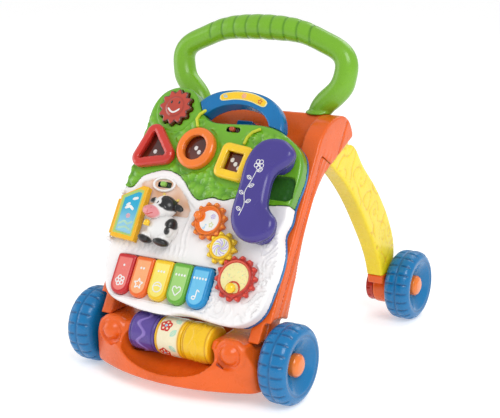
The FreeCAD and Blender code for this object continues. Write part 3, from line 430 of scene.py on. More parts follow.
def ray(reach, turn):
    return reach * math.cos(turn), reach * math.sin(turn)


FLOWER = [[ray(0.28, t) for t in np.linspace(0, 2 * math.pi, 12)]] + [
    [ray(0.28, t), ray(0.8, t + 0.15), ray(0.95, t + 0.6), ray(0.8, t + 1.1), ray(0.28, t + 1.26)]
    for t in np.arange(5) * 2 * math.pi / 5
]
STAR = [
    [
        (reach * math.sin(i * math.pi / 5), reach * math.cos(i * math.pi / 5))
        for i, reach in enumerate([0.95, 0.42] * 5 + [0.95])
    ]
]
HEART = [
    [(0, -0.85), (-0.8, 0.05), (-0.75, 0.6), (-0.35, 0.75), (0, 0.4)]
    + [(0.35, 0.75), (0.75, 0.6), (0.8, 0.05), (0, -0.85)]
]
NOTE = [
    [(0.35 * math.cos(t) - 0.3, 0.28 * math.sin(t) - 0.6) for t in np.linspace(0, 2 * math.pi, 9)],
    [(0.05, -0.6), (0.05, 0.8), (0.6, 0.5)],
]
LEAF = [
    [(0, -0.9), (-0.5, -0.2), (-0.4, 0.5), (0, 0.95), (0.4, 0.5), (0.5, -0.2), (0, -0.9)],
    [(0, -0.9), (0, 0.5)],
]
BALL = [[ray(0.85, t) for t in np.linspace(0, 2 * math.pi, 17)], [(-0.8, 0.1), (0, 0.35), (0.8, 0.1)]]


def placed(strokes, x, s, size, turn=0.0):
    """Unit strokes scaled, turned and moved to (x, s)."""
    c, d = size * math.cos(math.radians(turn)), size * math.sin(math.radians(turn))
    return [[(x + u * c - v * d, s + u * d + v * c) for u, v in line] for line in strokes]


def pips(count, x, s, pitch, rise, radius):
    """Small rings in a row through (x, s), whose strokes close up into dots."""
    rings = []
    for k in range(count):
        along = k - (count - 1) / 2
        ring = oval(x + along * pitch, s + along * rise, radius, radius, 12)
        rings.append(ring + ring[:1])
    return rings


def resampled(line, pitch=0.9):
    """A polyline with points at an even pitch."""
    rows = np.array(line, float)
    runs = np.hypot(*np.diff(rows, axis=0).T)
    total = np.concatenate([[0], np.cumsum(runs)])
    count = max(2, int(total[-1] / pitch) + 1)
    at = np.linspace(0, total[-1], count)
    return np.stack([np.interp(at, total, rows[:, 0]), np.interp(at, total, rows[:, 1])], 1)


def ink(strokes, width, place, height=0.28):
    """Rounded raised strokes; place(u, v, lift) puts rows of points in the world."""
    bm = bmesh.new()
    for line in strokes:
        rows = resampled(line)
        along = np.gradient(rows, axis=0)
        along /= np.maximum(np.hypot(along[:, 0], along[:, 1]), 1e-6)[:, None]
        rows[0] -= along[0] * width * 0.3
        rows[-1] += along[-1] * width * 0.3
        side = np.stack([-along[:, 1], along[:, 0]], 1)
        taper = np.ones(len(rows))
        taper[0] = taper[-1] = 0.55
        tracks = []
        shoulder = height * 0.8
        for across, lift in ((-0.5, 0.02), (-0.28, shoulder), (0.0, height), (0.28, shoulder), (0.5, 0.02)):
            spots = rows + side * (across * width * taper)[:, None]
            tracks.append([bm.verts.new(p) for p in place(spots[:, 0], spots[:, 1], lift)])
        for one, two in zip(tracks, tracks[1:]):
            for i in range(len(rows) - 1):
                bm.faces.new((one[i], one[i + 1], two[i + 1], two[i]))
        for i in (0, len(rows) - 1):
            end = [track[i] for track in tracks]
            bm.faces.new(end if i else list(reversed(end)))
    return to_mesh(bm)


def over(mesh):
    """A place() for ink: strokes lie on the front of a mesh, seen square onto the panel."""
    tree = bmesh.new()
    tree.from_mesh(mesh)
    bvh = BVHTree.FromBMesh(tree)
    tree.free()

    def place(u, v, lift):
        starts = on_face(np.stack([u, v, np.full(u.shape, 80.0)], 1))
        made = []
        for start in starts:
            hit = bvh.ray_cast(Vector(start), -FACE_OUT)[0]
            made.append(hit + FACE_OUT * lift * MM if hit else None)
        known = [p for p in made if p is not None]
        last = known[0]
        for i, p in enumerate(made):
            if p is None:
                spot = on_face([(u[i], v[i], to_face([last])[0][2])])[0]
                made[i] = Vector(spot)
            last = made[i]
        return made

    return place


def flat_at(n):
    """A place() for ink on a flat face at height n."""

    def place(u, v, lift):
        return [Vector(p) for p in on_face(np.stack([u, v, np.full(u.shape, n + lift)], 1))]

    return place


# ---- plain colours used again and again

PRINT_WHITE = moulded("PrintWhite", (0.85, 0.85, 0.83), rough=0.35, vary=0.05, coat=0.2)
PRINT_BLACK = moulded("PrintBlack", BLACK, rough=0.2, vary=0.3, coat=0.5)
PAINTED = moulded("Painted", WHITE, rough=0.26, vary=0.06, painted=True)
PAINTED_GLOSS = moulded("PaintedGloss", WHITE, rough=0.2, vary=0.06, coat=0.35, painted=True)
PAINTED_SOFT = moulded("PaintedSoft", WHITE, rough=0.36, vary=0.04, painted=True, coat=0.15)


def mixed(base, other, share):
    """Rows of colour between base and other, each one colour or rows of them."""
    share = np.asarray(share, float)[:, None]
    return np.asarray(base) * (1 - share) + np.asarray(other) * share


def displaced(mesh, relief):
    """Moves every point along its normal by relief(x, s, n, facing) mm; facing is the normal's share of n."""
    rows, along = coordinates(mesh), normals(mesh)
    x, s, n = to_face(rows).T
    facing = along @ np.array(FACE_OUT)
    set_coordinates(mesh, rows + along * (relief(x, s, n, facing) * MM)[:, None])
    return mesh


# ---- the panel's two faces

RING, SQUARE = (-30, 362), (37, 348)
SUN = (-87, 421)


def away(x, s, spot):
    return np.hypot(x - spot[0], s - spot[1])


def leaf_cells(x, s):
    return scatter_cells(x + 2 * np.sin(s / 9), s, 10.5, 3)


def leafy(x, s, n):
    """1 where the tree has leaves; 0 round the sun, the bezels and the handset."""
    open_land = step(36, 40, away(x, s, SUN)) * step(35, 40, away(x, s, (-100, 350)))
    open_land *= step(33, 36, away(x, s, RING)) * step(34, 38, away(x, s, SQUARE))
    open_land *= step(2, 6, np.minimum(away(x, s, (16, 397)) - 20, 400 - s + 12 * (x < -30)))
    return open_land * step(4, 16, 104 - x + 0.25 * np.abs(s - 360)) * step(-1.5, -0.4, n)


def leaf_relief(x, s, n, facing):
    """Clumps of leaves moulded over the tree and in the handset's recess."""
    leaves = 0.62 - leaf_cells(x, s)
    curls = np.abs(np.sin(waves(x, s, 30.0, 5) * 6))
    grooves = -0.7 * bell(away(x, s, SUN) - 35, 1.4)
    hollow = 1.5 * (0.55 - scatter_cells(x, s, 9.0, 12)) * inside(x, s, oval(112, 322, 17, 22, 24))
    hollow *= step(-5, -7, n)
    tree = (3.9 * leaves + 1.0 * curls) * leafy(x, s, n) * step(0.5, 0.9, facing)
    return tree + (grooves + hollow) * step(0.6, 0.9, facing)


BARN = [(-109, 292), (-105, 306), (-80, 315), (-58, 313), (-40, 303), (-24, 289), (-14, 274), (-16, 263)]
BARN.append((-108, 263))
ROOF = [(-124, 286), (-119, 296), (-104, 311), (-79, 321), (-58, 320), (-36, 309), (-18, 292), (-4, 281)]
ROOF = curved(ROOF)


def wall_relief(x, s, n, facing):
    """The barn's roof edge, its sunk wall, blades of grass and curls of cloud."""
    front = step(0.6, 0.9, facing) * step(-1.5, -0.5, n) * step(-122, -112, x)
    roof = 1.5 * step(6.5, 3.0, distance_to_line(x, s, ROOF))
    barn = -1.1 * inside(x, s, BARN)
    blades = np.maximum(0, np.sin(x * 0.78 + 2.2 * np.sin(s / 9.0) + waves(x, s, 60, 8) * 3)) ** 2
    grass = 2.0 * blades * step(204, 208, s) * step(226, 218, s) * step(6, -2, x)
    planks = 1.7 * blades * step(-20, -14, x) * step(2, -2, x) * step(222, 226, s) * step(268, 262, s)
    curls = np.maximum(0, np.sin(waves(x, s, 26, 11) * 9)) ** 3
    lower = 2.0 * curls * step(60, 66, away(x, s, (24, 262)) + 30 * (s > 235))
    lower *= step(30, 34, away(x, s, (89, 190)))
    lower *= step(-2, 6, x) * step(225, 205, s) + step(108, 114, x) * step(270, 250, s)
    lower *= step(23, 27, away(x, s, (55, 228)))
    soft = 0.12 * waves(x, s, 16, 4)
    return (roof + barn + grass + planks + lower + soft) * front


# Tree green, the painted shade for its sunk faces and leaf hollows, and the painted highlight for its leaf tops.
GREEN_TOP = (0.165, 0.46, 0.018)
GREEN_SHADE = (0.07, 0.26, 0.008)
GREEN_HIGHLIGHT = (0.27, 0.60, 0.05)
GREEN_RECESS_SHADE = (0.035, 0.15, 0.02)


def panel_faces():
    upper = displaced(softened("panel_upper", 1.5, 2), leaf_relief)
    x, s, n = to_face(coordinates(upper)).T
    # Painted shade: faces that lie below the panel's front are darker.
    colours = mixed(GREEN_TOP, GREEN_SHADE, step(0.2, -2.5, n) * 0.55)
    cells, cover = leaf_cells(x, s), leafy(x, s, n + 4)
    # Painted shade in the hollows between leaf clumps and painted highlight on their tops.
    colours = mixed(colours, GREEN_SHADE, 0.6 * cover * step(0.45, 0.85, cells))
    colours = mixed(colours, GREEN_HIGHLIGHT, 0.55 * cover * step(0.45, 0.15, cells))
    # Painted shade in the handset's recess.
    recess = inside(x, s, oval(112, 322, 24, 20, 24)) * step(-2.5, -4.5, n)
    painted(upper, mixed(colours, GREEN_RECESS_SHADE, recess))
    add_piece("TreeFace", upper, "panel", "green_shell", PAINTED_GLOSS, "panel_upper")

    lower = displaced(softened("panel_lower", 1.5, 2), wall_relief)
    x, s, n = to_face(coordinates(lower)).T
    barn = inside(x, s, BARN) * step(-4, -2, n)
    painted(lower, mixed(WHITE, PEACH, barn * (0.75 + 0.2 * waves(x, s, 20, 2)).clip(0, 1)))
    add_piece("BarnFace", lower, "panel", "white_shell", PAINTED_SOFT, "panel_lower")


panel_faces()

# ---- shape buttons, sun, sliders

RED_RIM = moulded("RedRim", (0.62, 0.03, 0.018), rough=0.16, coat=0.6)
ORANGE_RIM = moulded("OrangeRim", (0.90, 0.20, 0.012), rough=0.16, coat=0.6)
YELLOW_RIM = moulded("YellowRim", (0.95, 0.60, 0.01), rough=0.16, coat=0.6)
RIMS = {
    "triangle": (RED_RIM, "red_shell", 1, (-100, 352)),
    "circle": (ORANGE_RIM, "orange_shell", 2, (-30, 361)),
    "square": (YELLOW_RIM, "yellow_shell", 3, (37, 347)),
}


def fattened(mesh, spot):
    """A rim swollen towards its middle above the lens, so that it rounds over like a tube."""
    rows, along = coordinates(mesh), normals(mesh)
    x, s, n = to_face(rows).T
    flat = along @ FACE_TURN
    inward = -(flat[:, 0] * (x - spot[0]) + flat[:, 1] * (s - spot[1])) / np.maximum(away(x, s, spot), 1)
    swell = 2.6 * step(0.1, 0.8, inward) * step(2.6, 6.5, n) + 0.5 * step(0.1, 0.8, -inward) * step(1, 4, n)
    side = flat * [1, 1, 0]
    set_coordinates(mesh, rows + (side * (swell * MM)[:, None]) @ FACE_TURN.T)
    return mesh


def shape_buttons():
    for kind, (rim, slot, count, spot) in RIMS.items():
        rounded = fattened(softened("bezel_" + kind, 1.0, 5), spot)
        add_piece("Rim_" + kind, rounded, "panel", slot, rim, "bezel_" + kind)
        lens = softened("button_" + kind, 1.0, 2)
        rows = to_face(coordinates(lens))
        shadow = step(spot[1] + 4, spot[1] - 16, rows[:, 1])
        painted(lens, mixed((0.10, 0.012, 0.005), (0.20, 0.035, 0.012), shadow))
        dots = ink(pips(count, *spot, 6.4, -5.6, 1.6), 3.5, over(lens), 0.5)
        add_piece("Lens_" + kind, lens, "button_" + kind, "dark_lens", LENS_PAINT, "button_" + kind)
        add_piece("Pips_" + kind, dots, "button_" + kind, "white_shell", PRINT_WHITE)


LENS_PAINT = moulded("LensPaint", RED, rough=0.08, vary=0.2, coat=0.9, painted=True)
shape_buttons()


def sun_face():
    """The sun, with painted shade round its rays and down its sides, and a smiling face."""
    sun = softened("sun_button", 0.9, 9)
    rows = to_face(coordinates(sun))
    reach = away(rows[:, 0], rows[:, 1], SUN)
    turn = np.arctan2(rows[:, 1] - SUN[1], rows[:, 0] - SUN[0])
    # Painted shade: near black round the rays' edges and down the sides.
    edge = step(-3.2, -1.2, reach - 25.2 - 2.6 * np.cos(12 * turn)) + step(5, 2.5, rows[:, 2])
    colours = mixed((0.55, 0.045, 0.018), (0.11, 0.012, 0.008), edge.clip(0, 1))
    # Painted shade in a ring round the foot of the raised face.
    face_rim_shade = step(17.5, 14.5, reach) * step(13.0, 14.5, reach)
    painted(sun, mixed(colours, (0.30, 0.02, 0.01), 0.6 * face_rim_shade))
    sun = displaced(sun, lambda x, s, n, facing: step(15.5, 12.5, away(x, s, SUN)) * step(0.6, 0.9, facing))
    smile = [
        [(SUN[0] - 9.5 + 19 * t, SUN[1] - 3.5 - 5.5 * math.sin(math.pi * t)) for t in np.linspace(0, 1, 12)]
    ]
    eyes = [[(SUN[0] + side * 6.5, SUN[1] + 5), (SUN[0] + side * 6.5, SUN[1] + 7.5)] for side in (-1, 1)]
    cover = over(sun)
    add_piece("SunSmile", ink(smile, 2.6, cover), "sun_button", "white_shell", PRINT_WHITE)
    add_piece("SunEyes", ink(eyes, 3.4, cover), "sun_button", "speaker_black", PRINT_BLACK)
    add_piece("SunFace", sun, "sun_button", "red_shell", LENS_PAINT, "sun_button")


sun_face()


def thumb(kind, name, bright, dark):
    piece = softened(kind + "_switch", 0.7, 2)
    # Painted shade: near black where the thumb sinks below the panel's face into its slot.
    painted(piece, mixed(bright, dark, step(0.6, -0.4, to_face(coordinates(piece))[:, 2])))
    add_piece(name, piece, kind + "_switch", "red_shell", PAINTED, kind + "_switch")


def sliders():
    thumb("mode", "ModeThumb", (0.30, 0.60, 0.10), (0.02, 0.05, 0.02))
    ring = curved(oval(-69, 306, 17.5, 9.5, 14), 4, closed=True)
    ring.append(ring[0])
    rail = tube(on_face([(x, s, 0.4) for x, s in ring]), 1.9 * MM, 10)
    add_plain("ModeFrame", rail, "panel", "white_shell")
    thumb("power", "PowerThumb", (0.50, 0.07, 0.03), (0.03, 0.012, 0.008))


sliders()

# ---- piano keys

KEY_COLOURS = {
    "red": ((0.58, 0.02, 0.025), (0.86, 0.20, 0.17), FLOWER),
    "orange": ((0.86, 0.14, 0.015), (0.96, 0.42, 0.18), STAR),
    "yellow": ((0.92, 0.58, 0.01), (0.97, 0.82, 0.16), BALL),
    "green": ((0.13, 0.42, 0.035), (0.38, 0.68, 0.20), HEART),
    "blue": ((0.01, 0.28, 0.62), (0.16, 0.56, 0.85), NOTE),
}
KEY_LEFT, KEY_PITCH = -104.5, 31.6


def piano():
    for i, (name, (groove_shade, pale, picture)) in enumerate(KEY_COLOURS.items()):
        middle = KEY_LEFT + (i + 0.5) * KEY_PITCH
        key = softened("key_" + name, 1.0, 2)
        rows = to_face(coordinates(key))
        half = np.abs(rows[:, 0] - middle)
        low = np.hypot(half, np.minimum(rows[:, 1] - 157, 0))
        inset = step(11.6, 10.4, np.where(rows[:, 1] < 157, low, half)) * step(194, 192, rows[:, 1])
        inset *= step(6.0, 7.5, rows[:, 2])
        painted(key, mixed(groove_shade, pale, inset))
        set_coordinates(key, coordinates(key) - normals(key) * (0.5 * inset * MM)[:, None])
        cover = over(key)
        strokes = placed(picture, middle, 160, 8.0)
        add_piece("KeyPrint_" + name, ink(strokes, 1.7, cover), "key_" + name, "white_shell", PRINT_WHITE)
        dots = ink(pips(i + 1, middle, 182, 4.6, 0, 0.9), 1.9, cover)
        add_piece("KeyDots_" + name, dots, "key_" + name, "white_shell", PRINT_WHITE)
        add_piece("KeyTop_" + name, key, "key_" + name, name + "_shell", PAINTED, "key_" + name)


def key_bed():
    """The white sill round the keys' free ends, cut round each key with room to press it."""
    right = KEY_LEFT + 5 * KEY_PITCH
    edge = [(KEY_LEFT - 0.6, 139.6), (KEY_LEFT - 0.6, 157.0)]
    for i in range(5):
        middle = KEY_LEFT + (i + 0.5) * KEY_PITCH
        for t in np.linspace(0.0, math.pi, 17):
            edge.append((middle - 15.7 * math.cos(t), 156.8 - 15.9 * math.sin(t)))
    edge += [(right + 0.6, 157.0), (right + 0.6, 139.6)]
    add_plain("KeySill", plate(edge, -3.0, -0.1), "panel", "white_shell")


piano()
key_bed()

# ---- gears

GEARS = {"orange": (24.0, 262.0, 12), "yellow": (55.2, 227.9, 10), "red": (89.1, 190.7, 14)}
GEAR_TINTS = {"orange": (0.90, 0.19, 0.015), "yellow": (0.95, 0.58, 0.012), "red": (0.62, 0.035, 0.02)}
PRINT_COLOURS = {
    "lavender": (0.50, 0.42, 0.72),
    "mint": (0.45, 0.72, 0.55),
    "rose": (0.85, 0.38, 0.42),
    "olive": (0.62, 0.66, 0.22),
    "sky": (0.30, 0.60, 0.85),
}
PRINTS = {
    name: moulded("Print_" + name, colour, rough=0.4, vary=0.12, coat=0.15)
    for name, colour in PRINT_COLOURS.items()
}
DISH_N = 8.62
LABEL_N = 9.3


def gear_tops():
    for name, (x0, s0, teeth) in GEARS.items():
        reach = 2.1 * teeth
        gear = softened("gear_" + name, 0.9, 7)
        x, s, n = to_face(coordinates(gear)).T
        away_from = away(x, s, (x0, s0))
        # Painted shade: a ring on the gear's top darkened to a shaded copy of its tint.
        groove = bell(away_from - reach + 3.6, 1.1) * step(6.5, 7.5, n)
        tint = np.array(GEAR_TINTS[name])
        colours = mixed(tint, tint * 0.45, 0.7 * groove)
        if name == "red":
            ring = step(reach - 12.0, reach - 11.0, away_from) * step(reach - 5.5, reach - 6.5, away_from)
            colours = mixed(colours, (0.80, 0.20, 0.12), 0.55 * ring * step(9.5, 10.5, n))
        painted(gear, colours)
        add_piece("GearBody_" + name, gear, "gear_" + name, name + "_shell", PAINTED, "gear_" + name)
        middle = step(1.0, 2.0, n) * step(7.0, 6.0, n) * step(reach - 6, reach - 4, away_from)
        round_it = np.arctan2(s - s0, x - x0)
        wave = ((away_from - reach) * middle * np.exp(1j * teeth * round_it)).sum()
        phase = float(np.angle(wave)) / teeth
        bumps = []
        for k in range(teeth):
            turn = phase + 2 * math.pi * k / teeth
            u, v = ray(reach - 1.2, turn)
            bumps.append(dome(on_face([(x0 + u, s0 + v, 7.6)])[0], 2.3, 1.9))
        add_piece("GearStuds_" + name, joined(bumps), "gear_" + name, name + "_shell", LIT_STUDS[name])


def dome(spot, radius, height):
    """A low round stud that stands on the panel's face direction."""
    bm = bmesh.new()
    bmesh.ops.create_uvsphere(bm, u_segments=10, v_segments=6, radius=1.0)
    for v in bm.verts:
        v.co = Vector((v.co.x * radius, v.co.y * radius, v.co.z * height)) * MM
    mesh = to_mesh(bm)
    rows = coordinates(mesh)
    set_coordinates(mesh, rows @ FACE_TURN.T + np.array(spot))
    return mesh


# Lighter copies of the gears' tints: a painted highlight on the studs round each rim.
LIT_STUDS = {
    "orange": moulded("StudHighlightOrange", (0.93, 0.30, 0.04), rough=0.2),
    "yellow": moulded("StudHighlightYellow", (0.96, 0.70, 0.05), rough=0.2),
    "red": moulded("StudHighlightRed", (0.75, 0.08, 0.05), rough=0.2),
}
gear_tops()


def gear_prints():
    """Round labels in the gears' dishes, and what is drawn on them."""
    x0, s0, _ = GEARS["orange"]
    moon = oval(x0 + 2.2, s0 - 0.5, 14.8, 14.8, 48)
    add_piece("OrangeDisc", plate(moon, DISH_N, LABEL_N, 0.3), "gear_orange", "white_shell", PRINT_WHITE)
    collar = plate(oval(10.6, 266, 8.3, 8.3, 32), DISH_N, 9.9, 0.5)
    add_piece("OrangeCollar", collar, "gear_orange", "orange_shell", ORANGE_RIM)
    lay = flat_at(LABEL_N)
    for name, strokes, tint in (
        ("Dots", placed(FLOWER, 31, 268, 4.0), "lavender"),
        ("Smile", placed(STAR, 31, 256, 4.4), "olive"),
        ("Note", placed(NOTE, 22, 253, 4.0), "sky"),
    ):
        add_piece("Orange" + name, ink(strokes, 0.9, lay), "gear_orange", "white_shell", PRINTS[tint])

    x0, s0, _ = GEARS["yellow"]
    disc = plate(oval(x0, s0, 12.6, 12.6, 40), DISH_N, LABEL_N, 0.3)
    add_piece("YellowDisc", disc, "gear_yellow", "white_shell", PRINT_WHITE)
    arms = {"lavender": [], "olive": []}
    for k in range(12):
        start = 2 * math.pi * k / 12
        arm = [(12 * t, start + 1.5 * t) for t in np.linspace(0.12, 0.92, 8)]
        arm = [(x0 + r * math.cos(turn), s0 + r * math.sin(turn)) for r, turn in arm]
        arms["lavender" if k % 3 else "olive"].append(arm)
    for tint, strokes in arms.items():
        add_piece("Swirl_" + tint, ink(strokes, 1.7, lay), "gear_yellow", "white_shell", PRINTS[tint])

    x0, s0, _ = GEARS["red"]
    disc = plate(oval(x0, s0, 20.8, 20.8, 56), DISH_N, LABEL_N, 0.4)
    add_piece("RedDisc", disc, "gear_red", "yellow_shell", CREAM_PRINT)
    random = np.random.RandomState(7)
    specks = {"rose": [], "mint": [], "olive": []}
    for k in range(66):
        r, turn = 19 * math.sqrt(random.rand()), 2 * math.pi * random.rand()
        x, s, along = x0 + r * math.cos(turn), s0 + r * math.sin(turn), random.rand() * math.pi
        specks[("rose", "mint", "olive")[k % 3]].append(
            [(x, s), (x + 1.3 * math.cos(along), s + 1.3 * math.sin(along))]
        )
    for tint, strokes in specks.items():
        add_piece("Speck_" + tint, ink(strokes, 0.9, lay), "gear_red", "yellow_shell", PRINTS[tint])
    # Painted shadow: a dark red raised ring round the knob's ball.
    ring = oval(91, 175.5, 10.0, 10.0, 28)
    ring.append(ring[0])
    groove = tube(on_face([(x, s, LABEL_N) for x, s in ring]), 1.2 * MM, 8)
    add_piece("KnobShadowRing", groove, "gear_red", "red_shell", RED_RIM)


CREAM_PRINT = moulded("CreamPrint", (0.88, 0.80, 0.36), rough=0.4, vary=0.06, coat=0.15)
gear_prints()

for colour, rim in (("orange", ORANGE_RIM), ("red", YELLOW_RIM)):
    knob_mesh = softened("gear_knob_" + colour, 0.6, 2)
    slot_name = "orange_shell" if colour == "orange" else "yellow_shell"
    add_piece("GearKnob_" + colour, knob_mesh, "gear_" + colour, slot_name, rim, "gear_knob_" + colour)

# ---- handset

PHONE_SEAM_N = 24


def handset():
    """The toy telephone, with its mould seam and a vine drawn up its grip."""
    phone = softened("handset", 1.2, 4)

    phone = displaced(phone, lambda x, s, n, facing: -0.7 * bell(n - PHONE_SEAM_N, 1.0))
    dark = bell(to_face(coordinates(phone))[:, 2] - PHONE_SEAM_N, 1.6)
    painted(phone, mixed((0.062, 0.045, 0.27), (0.012, 0.01, 0.07), 0.75 * dark))
    stem = curved([(86, 268), (89, 284), (85, 300), (90, 316), (94, 332)], 6)
    strokes = [stem]
    for k, (x, s) in enumerate(stem[3::4]):
        side = 1 if k % 2 else -1
        strokes += placed(LEAF, x + side * 5.0, s + 2.0, 4.6, -side * 62)
    strokes += placed(FLOWER, 95, 340, 8.0, 20) + placed(BALL, 95, 340, 1.4)
    cover = over(phone)
    add_piece("PhoneVine", ink(strokes, 0.95, cover), "handset", "white_shell", PRINT_WHITE)
    add_piece("PhoneCase", phone, "handset", "purple_shell", PHONE_PAINT, "handset")


PHONE_PAINT = moulded("PhonePaint", PURPLE, rough=0.24, vary=0.08, coat=0.12, painted=True)
handset()

# ---- barn door


def barn_door():
    """The door: a thick frame, a pale green border and a window on to sky and clouds."""
    door = softened("door", 0.9, 2)
    rows = to_face(coordinates(door))
    x, s, n = rows.T
    window = [(-119, 228), (-92, 225), (-92, 286), (-98, 287), (-119, 276)]
    border = [(-122, 225), (-89, 222), (-89, 290), (-99, 291), (-122, 279)]
    front = step(11.0, 12.2, n)
    colours = mixed((0.93, 0.50, 0.01), (0.42, 0.62, 0.16), inside(x, s, border) * front)
    sky = mixed((0.02, 0.42, 0.66), (0.30, 0.62, 0.80), step(270, 235, s))
    glass = (inside(x, s, window) * front)[:, None]
    colours = colours * (1 - glass) + sky * glass
    painted(door, colours)
    dent = 0.9 * inside(x, s, window) * front
    set_coordinates(door, coordinates(door) - normals(door) * (dent * MM)[:, None])
    cover = over(door)
    clouds = [[(-113, 262), (-106, 265), (-100, 261)], [(-112, 266), (-108, 269)], [(-104, 276), (-97, 278)]]
    hills = [[(-117, 238), (-109, 243), (-102, 239), (-95, 243)], [(-116, 232), (-104, 235), (-95, 231)]]
    add_piece("DoorClouds", ink(clouds, 4.0, cover), "door", "white_shell", PRINT_WHITE)
    add_piece("DoorHills", ink(hills, 3.0, cover), "door", "yellow_shell", PRINTS["mint"])
    flower = placed(FLOWER, -105, 251, 3.6)
    add_piece("DoorFlowers", ink(flower, 1.1, cover), "door", "yellow_shell", PRINTS["rose"])
    add_piece("DoorPanel", door, "door", "yellow_shell", PAINTED, "door")


barn_door()

# ---- cow


def blobs(parts, voxel, passes):
    """One smooth skin round stretched balls given as (x, s, n, rx, rs, rn, turn)."""
    bm = bmesh.new()
    for x, s, n, rx, rs, rn, turn in parts:
        made = bmesh.ops.create_uvsphere(bm, u_segments=28, v_segments=18, radius=1.0)
        c, d = math.cos(math.radians(turn)), math.sin(math.radians(turn))
        for v in made["verts"]:
            u, w = v.co.x * rx, v.co.y * rs
            v.co = Vector((x + u * c - w * d, s + u * d + w * c, n + v.co.z * rn))
    mesh = to_mesh(bm)
    set_coordinates(mesh, on_face(coordinates(mesh)))
    return remeshed(mesh, voxel, passes)


COW_WHITE = (0.86, 0.85, 0.84)
COW_BLACK = (0.012, 0.012, 0.013)
COW_PINK = (0.80, 0.28, 0.30)
COW_HORN = (0.86, 0.62, 0.12)


def near(rows, spot, reach, soft=0.8):
    """1 for rows within reach of a spot, 0 outside, on an ellipsoid of three reaches."""
    gap = np.sqrt((((rows - np.array(spot)) / np.array(reach)) ** 2).sum(1))
    edge = soft / min(reach)
    return step(1 + edge, 1 - edge, gap)


def patched(rows, patches):
    """White with patches, each a colour and the (spot, reach, soft) ellipsoids that it covers."""
    colours = COW_WHITE
    for tint, spots in patches:
        share = sum(near(rows, *spot) for spot in spots)
        colours = mixed(colours, tint, share.clip(0, 1))
    return colours


COW_BODY = [
    (-45, 241, 7, 24, 21, 17, 0),
    (-63, 225, 12, 8, 9, 12, -18),
    (-34, 225, 12, 8, 9, 12, -6),
    (-66, 222, 14, 9.5, 5.5, 10, -18),
    (-36, 220, 15, 12.5, 5.5, 10, -6),
    (-28, 244, 14, 8, 12, 11, -12),
    (-26, 236, 19, 6, 7, 7, -20),
]
BODY_PATCHES = [
    (
        COW_BLACK,
        [
            ((-66, 221, 16), (12.5, 5.8, 16)),
            ((-36, 219, 17), (15, 5.6, 16)),
            ((-24, 247, 20), (9, 8, 14)),
            ((-26, 235, 25), (5, 5.5, 6)),
        ],
    )
]
COW_HEAD = [
    (-46, 271, 14, 18, 15.5, 14, -8),
    (-58, 259, 24, 15.5, 9.2, 10, -8),
    (-49, 264, 20, 14, 11, 12, 0),
    (-25, 272, 12, 8, 4.6, 4.6, -22),
    (-68, 278, 14, 6, 3.8, 4.2, 30),
    (-31, 281, 12, 2.2, 4.6, 2.6, -24),
    (-55, 287, 12, 2.2, 4.6, 2.6, 14),
]
HEAD_PATCHES = [
    (
        COW_BLACK,
        [((-38, 275, 20), (15, 12, 20)), ((-22, 271, 12), (11, 7, 9)), ((-69, 279, 14), (5.5, 5, 7))],
    ),
    (COW_WHITE, [((-54, 276, 22), (6.5, 15, 16), 0.5)]),
    (COW_WHITE, [((-50.5, 272, 27), (5.6, 6.4, 9), 0.5)]),
    (COW_PINK, [((-59, 258, 27), (16.5, 9.0, 15))]),
    (COW_HORN, [((-30.5, 284.5, 12), (4, 4.4, 5)), ((-56, 290, 12), (4, 4.4, 5))]),
]


def cow():
    """A sitting cow with a patch over one eye, black hooves and a pink muzzle."""
    body = blobs(COW_BODY, 1.0, 4)
    painted(body, patched(to_face(coordinates(body)), BODY_PATCHES))
    add_piece("CowBody", body, "panel", "white_shell", COW_PAINT, "cow_body")
    head = blobs(COW_HEAD, 0.9, 4)
    painted(head, patched(to_face(coordinates(head)), HEAD_PATCHES))
    cover = over(head)
    eyes = [[(-50.5, 271), (-50.5, 273.5)], [(-62.0, 272), (-62.0, 274.0)]]
    add_piece("CowEyes", ink(eyes, 3.0, cover, 0.5), "panel", "speaker_black", PRINT_BLACK)
    mouth = [[(-68, 254.5), (-60, 252.5), (-51, 255.5)], [(-60, 252.5), (-59.5, 258)]]
    nostrils = [[(-65, 261), (-64.4, 261.8)], [(-55.5, 262), (-54.8, 262.8)]]
    add_piece("CowMouth", ink(mouth + nostrils, 1.0, cover), "panel", "red_shell", RED_RIM)
    add_piece("CowHead", head, "panel", "white_shell", COW_PAINT, "cow_head")
    collar_bell = blobs([(-61, 243, 25, 4.6, 4.2, 4.4, 0), (-61, 239.6, 25, 5.0, 1.8, 4.8, 0)], 0.7, 2)
    add_piece("CowBell", collar_bell, "panel", "yellow_shell", YELLOW_RIM)


COW_PAINT = moulded("CowPaint", WHITE, rough=0.3, vary=0.04, coat=0.3, painted=True)
cow()

# ---- carry handle, twigs


